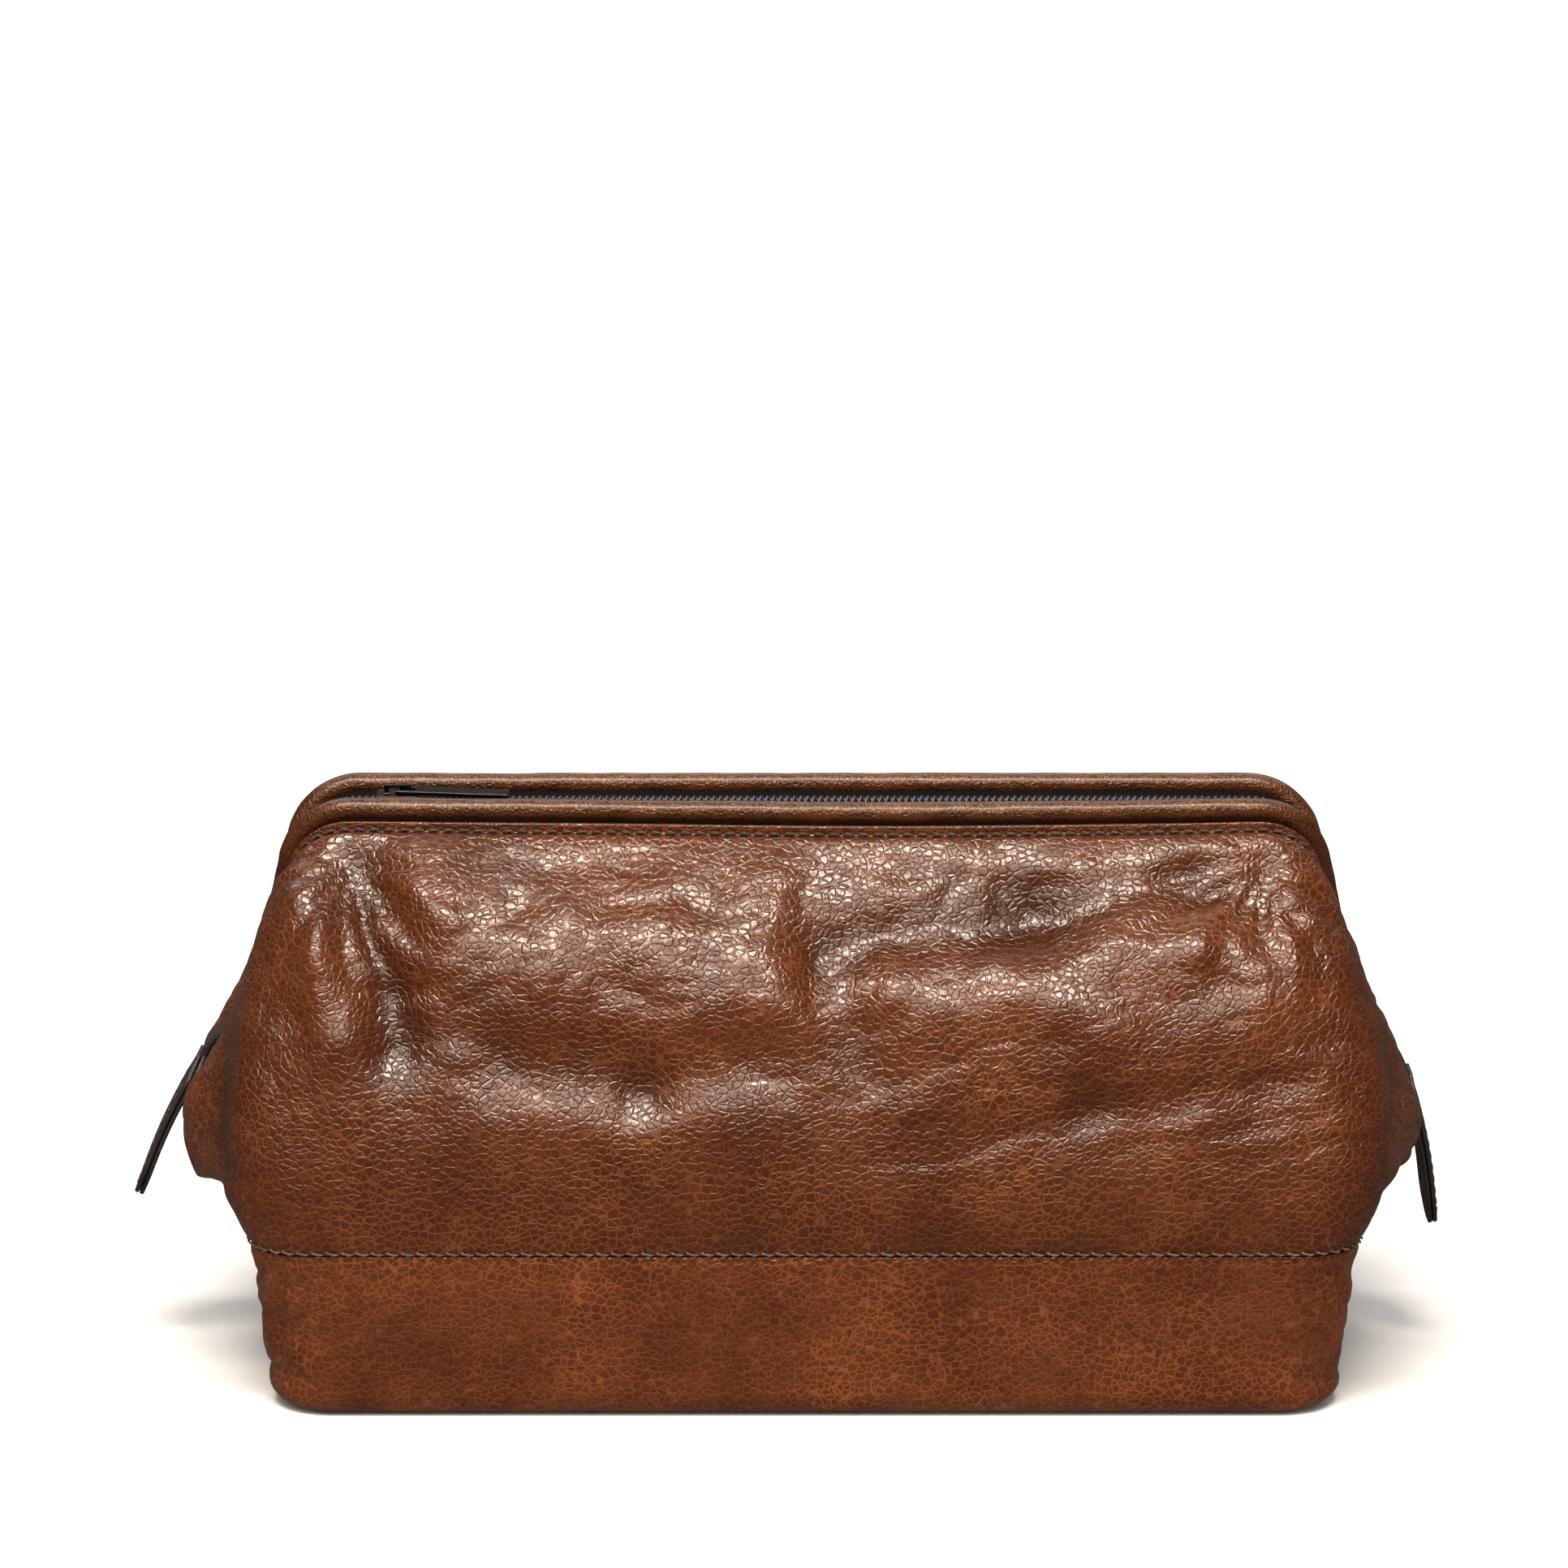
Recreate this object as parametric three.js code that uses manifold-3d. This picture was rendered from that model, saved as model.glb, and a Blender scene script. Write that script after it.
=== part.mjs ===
// Framed leather shaving kit bag, closed. Millimetres, +Z up, X along the length, -Y the front.
// The origin is the middle of the base, on the surface that the bag stands on.
// Two U-shaped steel frame halves, sleeved in leather, turn on a pin at each end of the bag and
// spread its mouth. Every leather and lining wall is a thin sheet with its true outer shape.
import * as THREE from "three";
import { mergeVertices } from "three/addons/utils/BufferGeometryUtils.js";
import Module from "manifold-3d";

const wasm = await Module();
wasm.setup();

// ---- Driving dimensions -------------------------------------------------------------------
const LEATHER = 1.4; // thickness of the body leather
const LINING = 0.6; // thickness of the lining cloth
const GAP = 0.3; // clearance between pieces that touch on the real bag

const SEAM_Z = 35.5; // height of the stitched seam between the base tray and the panels
const SEAM_HALF_LENGTH = 117.5;
const SEAM_HALF_DEPTH = 58.5;
const CORNER_RADIUS = 14; // rounded upright corners, seen from above

const BASE_HALF_LENGTH = 112.5; // the tray narrows a little towards the bottom
const BASE_HALF_DEPTH = 57.5;
const BASE_EDGE = 4; // radius of the rounded bottom edge
const BOARD = 2; // stiffening board in the base

const HINGE_Z = 62; // height of the frame's hinge pins
const LEG_LEAN = 10.5 / 48; // the legs lean outwards towards the hinge
const LEG_FOOT_X = 121.5; // where a leg's centre line meets the hinge axis
const HINGE_X = LEG_FOOT_X - 9 * LEG_LEAN; // between the two lugs of one hinge
const FRAME_HEIGHT = 61.2; // from the hinge axis to the top bar, along the frame's own plane
const FRAME_TILT = THREE.MathUtils.degToRad(12.2); // each closed half leans away from upright
const FRAME_CORNER = 14; // bend radius at the top corners
const ROD_RADIUS = 1.5;
const CASING_RADIUS = 2.6; // the leather sleeve round the rod
const CASING_BORE = 1.8;
const CASING_START = 14; // the sleeve starts this far above the hinge axis
const LUG = { thickness: 1.8, halfWidth: 1.5, eye: 2.6, top: 10 };
const PIN = { shaft: 1.2, hole: 1.5, head: 2.2, headHeight: 0.9, intoHead: 0.4 };

const ZIP_START = 26; // the zip starts this far above the hinge axis on each leg
const ZIP_DROP = 1.1; // the zip lies this far inside the line between the frame halves
const COIL = { width: 2.1, halfHeight: 1.1, shoulder: 0.6 };
const TAPE = { thickness: 0.6, reach: 2.9, leastWidth: 0.4 };
const SLIDER = { x: -88, length: 9, width: 8, plate: 0.7, clearance: 0.2, post: 1, halfPost: 0.1 };
const BRIDGE = { width: 1.1, height: 1.9, inset: 1.6, wall: 1, roof: 0.65 };
const PULLER = { length: 24, width: 6, thickness: 0.8, lay: 2 }; // lay: degrees below level
const PULLER_SLOT = { start: 0.4, end: 3.9, halfWidth: 1.2 };
const STOP = { length: 2.2, width: 1.7, height: 2.6, across: 1.15 };

const TAB = { length: 35, width: 18, ply: 0.95, neckWidth: 9, neckLength: 6 };
const STRAP = { halfWidth: 2.1, out: 0.9, up: 0.5, topX: 2.4, topZ: 77, bendX: 6, bendZ: 71 };
const STRAP_END = { back: 1.7, above: 1.2 }; // the strap stops this far short of the tab's fold

const POCKET = { halfWidth: 62, bottom: 9, top: 42, depth: 2.6, cloth: 0.8 };
const POCKET_OFF_LINING = 0.4; // between the pocket and the inner face of the rear lining

// ---- Colours and finishes -----------------------------------------------------------------
const finish = (color, roughness, metalness = 0) => () =>
  new THREE.MeshStandardMaterial({ color, roughness, metalness });
const cognacLeather = finish(0x7a3f1f, 0.38);
const darkLeather = finish(0x231a18, 0.5);
const liningCloth = finish(0x4a4038, 0.85);
const zipCloth = finish(0x2b2a30, 0.8);
const zipNylon = finish(0x35343c, 0.45);
const steel = finish(0xa8a8a8, 0.35, 1);
const gunmetal = finish(0x3a3a3e, 0.3, 1);
const greyBoard = finish(0x8a7d6c, 0.9);

const kitBag = new THREE.Group();

function addPart(name, geometry, material) {
  const mesh = new THREE.Mesh(geometry, material());
  mesh.name = name;
  kitBag.add(mesh);
  return mesh;
}

// ---- Solids from rings and grids ----------------------------------------------------------
// Closed geometry with its faces turned outwards, whichever way its points were listed.
function geometryOf(points, triangles) {
  let volume = 0;
  for (let i = 0; i < triangles.length; i += 3) {
    const [a, b, c] = triangles.slice(i, i + 3).map((index) => points[index]);
    volume += a.dot(b.clone().cross(c));
  }
  if (volume < 0) triangles.reverse();
  const geometry = new THREE.BufferGeometry().setFromPoints(points);
  geometry.setIndex(triangles);
  geometry.computeVertexNormals();
  return geometry;
}

// A solid through rings of equal size. "caps" closes both ends; "loop" joins the last ring to
// the first, as a hollow sleeve needs.
function loft(rings, ends = "caps") {
  const size = rings[0].length;
  const points = rings.flat();
  const triangles = [];
  const strips = ends === "loop" ? rings.length : rings.length - 1;
  for (let k = 0; k < strips; k++) {
    const low = k * size;
    const high = ((k + 1) % rings.length) * size;
    for (let i = 0; i < size; i++) {
      const j = (i + 1) % size;
      triangles.push(low + i, low + j, high + j, low + i, high + j, high + i);
    }
  }
  if (ends === "caps") {
    const lastRing = (rings.length - 1) * size;
    const bottom = points.push(middleOf(rings[0])) - 1;
    const top = points.push(middleOf(rings.at(-1))) - 1;
    for (let i = 0; i < size; i++) {
      const j = (i + 1) % size;
      triangles.push(bottom, j, i, top, lastRing + i, lastRing + j);
    }
  }
  return geometryOf(points, triangles);
}

function middleOf(ring) {
  const sum = new THREE.Vector3();
  ring.forEach((point) => sum.add(point));
  return sum.divideScalar(ring.length);
}

// A sheet between two grids of points, face[row][column], with its four rims closed.
function sheet(face, back) {
  const rows = face.length;
  const columns = face[0].length;
  const points = [...face.flat(), ...back.flat()];
  const behind = rows * columns;
  const at = (row, column) => row * columns + column;
  const triangles = [];
  const quad = (a, b, c, d) => triangles.push(a, b, c, a, c, d);
  for (let r = 0; r + 1 < rows; r++) {
    for (let c = 0; c + 1 < columns; c++) {
      const [a, b, d, e] = [at(r, c), at(r, c + 1), at(r + 1, c + 1), at(r + 1, c)];
      quad(a, b, d, e);
      quad(behind + e, behind + d, behind + b, behind + a);
    }
  }
  for (let c = 0; c + 1 < columns; c++) {
    const [a, b] = [at(0, c), at(0, c + 1)];
    const [d, e] = [at(rows - 1, c), at(rows - 1, c + 1)];
    quad(behind + a, behind + b, b, a);
    quad(d, e, behind + e, behind + d);
  }
  for (let r = 0; r + 1 < rows; r++) {
    const [a, b] = [at(r, 0), at(r + 1, 0)];
    const [d, e] = [at(r, columns - 1), at(r + 1, columns - 1)];
    quad(a, b, behind + b, behind + a);
    quad(behind + d, behind + e, e, d);
  }
  return geometryOf(points, triangles);
}

function solidOf(geometry) {
  const bare = geometry.clone();
  bare.deleteAttribute("normal");
  bare.deleteAttribute("uv");
  const merged = mergeVertices(bare, 1e-4);
  return new wasm.Manifold(
    new wasm.Mesh({
      numProp: 3,
      vertProperties: merged.attributes.position.array,
      triVerts: new Uint32Array(merged.index.array),
    }),
  );
}

function geometryFrom(solid) {
  const mesh = solid.getMesh();
  const geometry = new THREE.BufferGeometry();
  geometry.setAttribute("position", new THREE.BufferAttribute(mesh.vertProperties, 3));
  geometry.setIndex(new THREE.BufferAttribute(mesh.triVerts, 1));
  geometry.computeVertexNormals();
  return geometry;
}

const join = (...geometries) =>
  geometryFrom(geometries.map(solidOf).reduce((whole, piece) => whole.add(piece)));
const cut = (geometry, ...tools) =>
  geometryFrom(tools.map(solidOf).reduce((left, tool) => left.subtract(tool), solidOf(geometry)));

// A box between two corners.
function block(x0, x1, y0, y1, z0, z1) {
  const box = new THREE.BoxGeometry(x1 - x0, y1 - y0, z1 - z0);
  return box.translate((x0 + x1) / 2, (y0 + y1) / 2, (z0 + z1) / 2);
}

// A cylinder along X.
function roundBar(x0, x1, radius, y, z, sides = 20) {
  const bar = new THREE.CylinderGeometry(radius, radius, x1 - x0, sides);
  return bar.rotateZ(Math.PI / 2).translate((x0 + x1) / 2, y, z);
}

// ---- Outline of the body, seen from above --------------------------------------------------
// s runs from the middle of the left end (0) round the front to the middle of the right end (1).
const END_SHARE = 0.13;
const CORNER_SHARE = 0.07;
const FRONT_STATIONS = [
  0, 0.03, 0.06, 0.09, 0.12, 0.145, 0.165, 0.185, 0.205, 0.24, 0.3, 0.37, 0.435, 0.5,
];
const STATIONS = [...FRONT_STATIONS, ...FRONT_STATIONS.slice(0, -1).reverse().map((s) => 1 - s)];

function outlinePoint(s, halfLength, halfDepth, radius) {
  if (s > 0.5) {
    const [x, y] = outlinePoint(1 - s, halfLength, halfDepth, radius);
    return [-x, y];
  }
  if (s < END_SHARE) return [-halfLength, -(halfDepth - radius) * (s / END_SHARE)];
  const turned = (s - END_SHARE) / CORNER_SHARE;
  if (turned < 1) {
    const angle = (turned * Math.PI) / 2;
    const x = -halfLength + radius - radius * Math.cos(angle);
    return [x, -halfDepth + radius - radius * Math.sin(angle)];
  }
  const along = (s - END_SHARE - CORNER_SHARE) / (0.5 - END_SHARE - CORNER_SHARE);
  return [-(halfLength - radius) * (1 - along), -halfDepth];
}

// A closed ring round the bag: the front half and then the rear half.
function ringAt(z, halfLength, halfDepth, radius) {
  const front = STATIONS.map((s) => outlinePoint(s, halfLength, halfDepth, radius));
  const rear = front.slice(1, -1).reverse().map(([x, y]) => [x, -y]);
  return [...front, ...rear].map(([x, y]) => new THREE.Vector3(x, y, z));
}

// ---- The frame's path ---------------------------------------------------------------------
// In the frame's own plane: x, and h above the hinge axis. w runs from the left hinge (0)
// over the top to the right hinge (1).
const LEG_SHARE = 0.16;
const BEND_SHARE = 0.06;
const LEG_ANGLE = Math.atan2(1, LEG_LEAN); // the leg's slope from the X axis
const BEND = FRAME_CORNER * Math.tan(LEG_ANGLE / 2); // from the square corner to each tangent
const CORNER_X = LEG_FOOT_X - FRAME_HEIGHT * LEG_LEAN;

function framePlanePoint(w) {
  if (w > 0.5) {
    const mirrored = framePlanePoint(1 - w);
    return { x: -mirrored.x, h: mirrored.h, inX: -mirrored.inX, inH: mirrored.inH };
  }
  const [alongX, alongH] = [Math.cos(LEG_ANGLE), Math.sin(LEG_ANGLE)];
  if (w < LEG_SHARE) {
    const legTop = FRAME_HEIGHT - BEND * alongH;
    const h = legTop * (w / LEG_SHARE);
    return { x: -LEG_FOOT_X + h * LEG_LEAN, h, inX: alongH, inH: -alongX };
  }
  const turned = (w - LEG_SHARE) / BEND_SHARE;
  if (turned < 1) {
    const angle = Math.PI / 2 + LEG_ANGLE * (1 - turned); // from the bend's centre, outwards
    const [outX, outH] = [Math.cos(angle), Math.sin(angle)];
    const x = -CORNER_X + BEND + FRAME_CORNER * outX;
    return { x, h: FRAME_HEIGHT - FRAME_CORNER * (1 - outH), inX: -outX, inH: -outH };
  }
  const along = (w - LEG_SHARE - BEND_SHARE) / (0.5 - LEG_SHARE - BEND_SHARE);
  return { x: (-CORNER_X + BEND) * (1 - along), h: FRAME_HEIGHT, inX: 0, inH: -1 };
}

// A point beside the frame's centre line: inwards in its plane, and out of the plane to the
// outer side of the bag. side is -1 for the front half and 1 for the rear half.
function besideFrame(side, w, inwards = 0, outwards = 0) {
  const at = framePlanePoint(w);
  const h = at.h + at.inH * inwards;
  const y = Math.sin(FRAME_TILT) * h + Math.cos(FRAME_TILT) * outwards;
  const z = HINGE_Z + Math.cos(FRAME_TILT) * h - Math.sin(FRAME_TILT) * outwards;
  return new THREE.Vector3(at.x + at.inX * inwards, side * y, z);
}

const legShareAt = (h) => (LEG_SHARE * h) / (FRAME_HEIGHT - BEND * Math.sin(LEG_ANGLE));
function pathStations(startHeight) {
  const start = legShareAt(startHeight);
  const bend = [0, 1, 2, 3, 4, 5].map((i) => LEG_SHARE + (BEND_SHARE * i) / 5);
  const left = [start, (start + LEG_SHARE) / 2, ...bend, 0.36];
  return [...left, 0.5, ...left.slice().reverse().map((w) => 1 - w)];
}

// A ring of points round the frame's centre line.
function frameRing(side, w, radius, sides) {
  return Array.from({ length: sides }, (_, i) => {
    const angle = (side * 2 * Math.PI * i) / sides;
    return besideFrame(side, w, radius * Math.cos(angle), radius * Math.sin(angle));
  });
}

// ---- Front and rear panels ----------------------------------------------------------------
// Each upright line of a panel is a Bezier curve from the seam to the frame. The panel leaves
// the seam bulging out, folds out over the ends and closes on the sleeve of the frame.
const PANEL_OVER_CASING = CASING_RADIUS + GAP + 0.05 + LEATHER; // to the panel's outer face
const PANEL_AT_HINGE = { inwards: -7, outwards: 2.4 }; // the panel's top edge passes the hinge here
const SEAM_OFF_MIDDLE = 0.25; // the two panels meet at the ends with twice this between them

// How far each curve's two inner control points stand out, in millimetres, and their heights
// as shares of the rise, at the bag's ends and along its front or rear.
const SWELL = {
  lower: { endOut: 17, frontOut: 3.5, endRise: 0.36, frontRise: 0.29 },
  upper: { hingeOut: 4, endOut: 15, hingeAcross: 1, endAcross: 12, frontAcross: 21 },
  upperDrop: { end: 0.33, front: 0.18 },
  drawnIn: 0.35, // the middle of each end is drawn in by this share
};
const blend = THREE.MathUtils.lerp;
const fade = THREE.MathUtils.smoothstep;

function panelCurve(side, s) {
  const [x, y] = outlinePoint(s, SEAM_HALF_LENGTH, SEAM_HALF_DEPTH, CORNER_RADIUS);
  const fromEnd = Math.min(s, 1 - s) / END_SHARE; // 0 at the middle of an end, 1 at its corner
  const towardsFront = fade(fromEnd, 0.8, 1.9);
  const outX = Math.sign(s - 0.5) * (1 - fade(fromEnd, 0.9, 2.6));
  const seam = new THREE.Vector3(x, -side * (y - SEAM_OFF_MIDDLE), SEAM_Z);
  const atFrame = fade(fromEnd, 0, 0.75); // the panel passes outside the hinge, then inside
  const inwards = blend(PANEL_AT_HINGE.inwards, 1, atFrame);
  const outwards = blend(PANEL_AT_HINGE.outwards, PANEL_OVER_CASING, atFrame);
  const top = besideFrame(side, s, inwards, outwards);
  const fold = 1 - SWELL.drawnIn * (1 - fade(fromEnd, 0, 0.5));
  const rise = top.z - SEAM_Z;
  const { lower, upper, upperDrop } = SWELL;
  const lowerPoint = new THREE.Vector3(
    seam.x + outX * lower.endOut * fold,
    seam.y + side * lower.frontOut * towardsFront,
    SEAM_Z + rise * blend(lower.endRise, lower.frontRise, towardsFront),
  );
  const endAcross = blend(upper.hingeAcross, upper.endAcross, atFrame);
  const upperPoint = new THREE.Vector3(
    top.x + outX * blend(upper.hingeOut, upper.endOut, atFrame) * fold,
    top.y + side * blend(endAcross, upper.frontAcross, towardsFront),
    top.z - rise * blend(upperDrop.end, upperDrop.front, towardsFront),
  );
  return new THREE.CubicBezierCurve3(seam, lowerPoint, upperPoint, top);
}

// The panel's grid of points, moved in from the outer face by the given depth.
function panelGrid(side, from, to, rows, depth) {
  const curves = STATIONS.map((s) => panelCurve(side, s));
  const grid = [];
  for (let r = 0; r <= rows; r++) {
    grid.push(curves.map((curve) => curve.getPoint(blend(from, to, r / rows))));
  }
  if (depth === 0) return grid;
  return grid.map((row, r) =>
    row.map((point, c) => {
      const along = row[Math.min(c + 1, row.length - 1)].clone().sub(row[Math.max(c - 1, 0)]);
      const up = curves[c].getTangent(blend(from, to, r / rows));
      const inwards = along.cross(up).normalize().multiplyScalar(side);
      if (c === 0 || c === row.length - 1) inwards.setY(0).normalize(); // stay on the end's seam
      return point.clone().addScaledVector(inwards, depth);
    }),
  );
}

const panelSheet = (side, from, to, rows, outer, thickness) =>
  sheet(
    panelGrid(side, from, to, rows, outer),
    panelGrid(side, from, to, rows, outer + thickness),
  );

// Shares of a curve's length, from the seam (0) to the frame (1).
const PANEL_START = 0.004;
const FOLD_LINE = 0.33; // the panels bend here when the frame opens
const FOLD_GAP = 0.006;
const LINING_START = 0.05;
const LINING_TOP = 0.97;
const LINING_DEPTH = LEATHER + 1.0; // from the outer face of the leather to the lining
const HALVES = [[-1, "front"], [1, "rear"]];
const ENDS = [[-1, "left"], [1, "right"]];

for (const [side, name] of HALVES) {
  const lowerPanel = panelSheet(side, PANEL_START, FOLD_LINE - FOLD_GAP, 4, 0, LEATHER);
  const upperPanel = panelSheet(side, FOLD_LINE, 1, 7, 0, LEATHER);
  const upperLining = panelSheet(side, FOLD_LINE, LINING_TOP, 6, LINING_DEPTH, LINING);
  addPart(`${name}_panel_lower`, lowerPanel, cognacLeather);
  addPart(`${name}_panel_upper`, upperPanel, cognacLeather);
  addPart(`${name}_lining_upper`, upperLining, liningCloth);
}

// ---- Base tray, board and lining ----------------------------------------------------------
// Outline of the tray at a height, moved in from its outer face.
function trayRing(z, inset) {
  const rise = Math.min(Math.max(z / SEAM_Z, 0), 1);
  const edge = Math.max(BASE_EDGE - z, 0);
  const rounding = BASE_EDGE - Math.sqrt(BASE_EDGE ** 2 - edge ** 2);
  const halfLength = blend(BASE_HALF_LENGTH, SEAM_HALF_LENGTH, Math.sqrt(rise)) - rounding - inset;
  const halfDepth = blend(BASE_HALF_DEPTH, SEAM_HALF_DEPTH, Math.sqrt(rise)) - rounding - inset;
  return ringAt(z, halfLength, halfDepth, CORNER_RADIUS - rounding - inset);
}

const TRAY_FLOOR = 1.6; // the tray's leather is this thick underneath
const TRAY_WALL = [TRAY_FLOOR, BASE_EDGE, 12, 22, SEAM_Z - GAP];
const trayOuter = [0, 0.5, ...TRAY_WALL].map((z) => trayRing(z, 0));
const trayInner = TRAY_WALL.slice().reverse().map((z) => trayRing(z, LEATHER));
addPart("base_tray", loft([...trayOuter, ...trayInner]), cognacLeather);

const BOARD_INSET = 4.5;
const BOARD_CORNER = 10;
const boardBottom = TRAY_FLOOR + GAP;
const boardTop = boardBottom + BOARD;
const boardRing = (z) =>
  ringAt(z, BASE_HALF_LENGTH - BOARD_INSET, BASE_HALF_DEPTH - BOARD_INSET, BOARD_CORNER);
addPart("base_board", loft([boardRing(boardBottom), boardRing(boardTop)]), greyBoard);

// The lower lining is one cup: it follows the tray and then both panels up to the fold line.
function liningRings(depth, bottom) {
  const rings = [bottom, 12, 22, SEAM_Z - 2].map((z) => trayRing(z, depth));
  const rimShare = FOLD_LINE - 3 * FOLD_GAP;
  const front = panelGrid(-1, LINING_START, rimShare, 3, depth);
  const rear = panelGrid(1, LINING_START, rimShare, 3, depth);
  front.forEach((row, r) => rings.push([...row, ...rear[r].slice(1, -1).reverse()]));
  return rings;
}
const liningBottom = boardTop + GAP;
const liningOuter = liningRings(LINING_DEPTH, liningBottom);
const liningInner = liningRings(LINING_DEPTH + LINING, liningBottom + LINING).reverse();
addPart("lining_lower", loft([...liningOuter, ...liningInner]), liningCloth);

// ---- Slip pocket on the rear wall ---------------------------------------------------------
// A flat cloth pocket, open along its top edge.
const wallY = BASE_HALF_DEPTH - LINING_DEPTH - LINING - POCKET_OFF_LINING;
const pocketFront = wallY - POCKET.depth - POCKET.cloth;
addPart(
  "slip_pocket",
  cut(
    block(-POCKET.halfWidth, POCKET.halfWidth, pocketFront, wallY, POCKET.bottom, POCKET.top),
    block(
      -POCKET.halfWidth + POCKET.cloth,
      POCKET.halfWidth - POCKET.cloth,
      pocketFront + POCKET.cloth,
      wallY + 1,
      POCKET.bottom + POCKET.cloth,
      POCKET.top + 1,
    ),
  ),
  liningCloth,
);

// ---- Frame halves, their leather sleeves and the hinge pins -------------------------------
const LUG_CENTRE = { "-1": LUG.thickness / 2 + GAP / 2, 1: -LUG.thickness / 2 - GAP / 2 };

// One lug, at one end (-1 left, 1 right): a bar with an eye on the hinge axis. The front half's
// lugs are outside the rear half's.
function lug(side, end) {
  const x = end * (HINGE_X + LUG_CENTRE[side]);
  const [x0, x1] = [x - LUG.thickness / 2, x + LUG.thickness / 2];
  const bar = block(x0, x1, -LUG.halfWidth, LUG.halfWidth, 0, LUG.top);
  const eye = roundBar(x0, x1, LUG.eye, 0, 0);
  return join(bar, eye)
    .rotateX(-side * FRAME_TILT)
    .translate(0, 0, HINGE_Z);
}

const ROD_INTO_LUG = 2;
const rodStations = pathStations(LUG.top - ROD_INTO_LUG);
for (const [side, name] of HALVES) {
  const rod = loft(rodStations.map((w) => frameRing(side, w, ROD_RADIUS, 8)));
  const hole = roundBar(-LEG_FOOT_X - LUG.top, LEG_FOOT_X + LUG.top, PIN.hole, 0, HINGE_Z);
  addPart(`${name}_frame`, cut(join(rod, lug(side, -1), lug(side, 1)), hole), steel);

  const sleeve = pathStations(CASING_START);
  const outer = sleeve.map((w) => frameRing(side, w, CASING_RADIUS, 10));
  const bore = sleeve.map((w) => frameRing(side, w, CASING_BORE, 10)).reverse();
  addPart(`${name}_casing`, loft([...outer, ...bore], "loop"), cognacLeather);
}

const pinHalf = LUG.thickness + GAP / 2 + GAP;
for (const [end, name] of ENDS) {
  const x = end * HINGE_X;
  const reach = pinHalf + PIN.intoHead;
  const shaft = roundBar(x - reach, x + reach, PIN.shaft, 0, HINGE_Z);
  const heads = [-1, 1].map((way) => {
    const face = x + way * pinHalf;
    const back = face + way * PIN.headHeight;
    return roundBar(Math.min(face, back), Math.max(face, back), PIN.head, 0, HINGE_Z);
  });
  addPart(`${name}_hinge_pin`, join(shaft, ...heads), steel);
}

// ---- Zip: two tapes, two rows of coil, stops, slider and puller ---------------------------
// A point beside the bag's middle plane: across is measured from that plane, and above is
// measured outwards from the line of the tapes.
function zipPoint(side, w, across, above) {
  const at = besideFrame(side, w, ZIP_DROP - above);
  return new THREE.Vector3(at.x, side * across, at.z);
}

const zipStations = pathStations(ZIP_START);
for (const [side, name] of HALVES) {
  const coil = zipStations.map((w) => [
    zipPoint(side, w, GAP / 2, -COIL.halfHeight),
    zipPoint(side, w, COIL.width, -COIL.halfHeight),
    zipPoint(side, w, COIL.width, COIL.halfHeight * COIL.shoulder),
    zipPoint(side, w, COIL.width * COIL.shoulder, COIL.halfHeight),
    zipPoint(side, w, GAP / 2, COIL.halfHeight),
  ]);
  addPart(`${name}_zip_coil`, loft(coil), zipNylon);

  const tapeRow = (above) =>
    zipStations.map((w) => {
      const sewnEdge = COIL.width + GAP;
      const outerEdge = Math.abs(besideFrame(side, w).y) - TAPE.reach;
      return [sewnEdge, Math.max(outerEdge, sewnEdge + TAPE.leastWidth)].map((across) =>
        zipPoint(side, w, across, above),
      );
    });
  const tape = sheet(tapeRow(TAPE.thickness / 2), tapeRow(-TAPE.thickness / 2));
  addPart(`${name}_zip_tape`, tape, zipCloth);
}

// The slider: two plates round the coil, joined by a post between the two rows, and a bridge
// that holds the puller. It stands at the closed end, the left, of the straight top.
const zipTopZ = zipPoint(1, 0.5, 0, 0).z;
const plateOffset = COIL.halfHeight + SLIDER.clearance;
const upperPlate = [zipTopZ + plateOffset, zipTopZ + plateOffset + SLIDER.plate];
const lowerPlate = [zipTopZ - plateOffset - SLIDER.plate, zipTopZ - plateOffset];
const [sliderLeft, sliderRight] = [SLIDER.x - SLIDER.length / 2, SLIDER.x + SLIDER.length / 2];
const plateAt = (heights) =>
  block(sliderLeft, sliderRight, -SLIDER.width / 2, SLIDER.width / 2, ...heights);

const OVERLAP = 0.2; // joined blocks reach this far into each other
const post = block(
  sliderLeft,
  sliderLeft + SLIDER.post,
  -SLIDER.halfPost,
  SLIDER.halfPost,
  lowerPlate[1] - OVERLAP,
  upperPlate[0] + OVERLAP,
);
const bridgeLeft = sliderLeft + BRIDGE.inset;
const bridgeRight = sliderRight - BRIDGE.inset;
const bridgeTop = upperPlate[1] + BRIDGE.height;
const holeTop = bridgeTop - BRIDGE.roof;
const bridge = block(
  bridgeLeft,
  bridgeRight,
  -BRIDGE.width / 2,
  BRIDGE.width / 2,
  upperPlate[0],
  bridgeTop,
);
const bridgeHole = block(
  bridgeLeft + BRIDGE.wall,
  bridgeRight - BRIDGE.wall,
  -BRIDGE.width,
  BRIDGE.width,
  upperPlate[1],
  holeTop,
);
const slider = cut(join(plateAt(upperPlate), plateAt(lowerPlate), post, bridge), bridgeHole);
addPart("zip_slider", slider, gunmetal);

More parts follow.
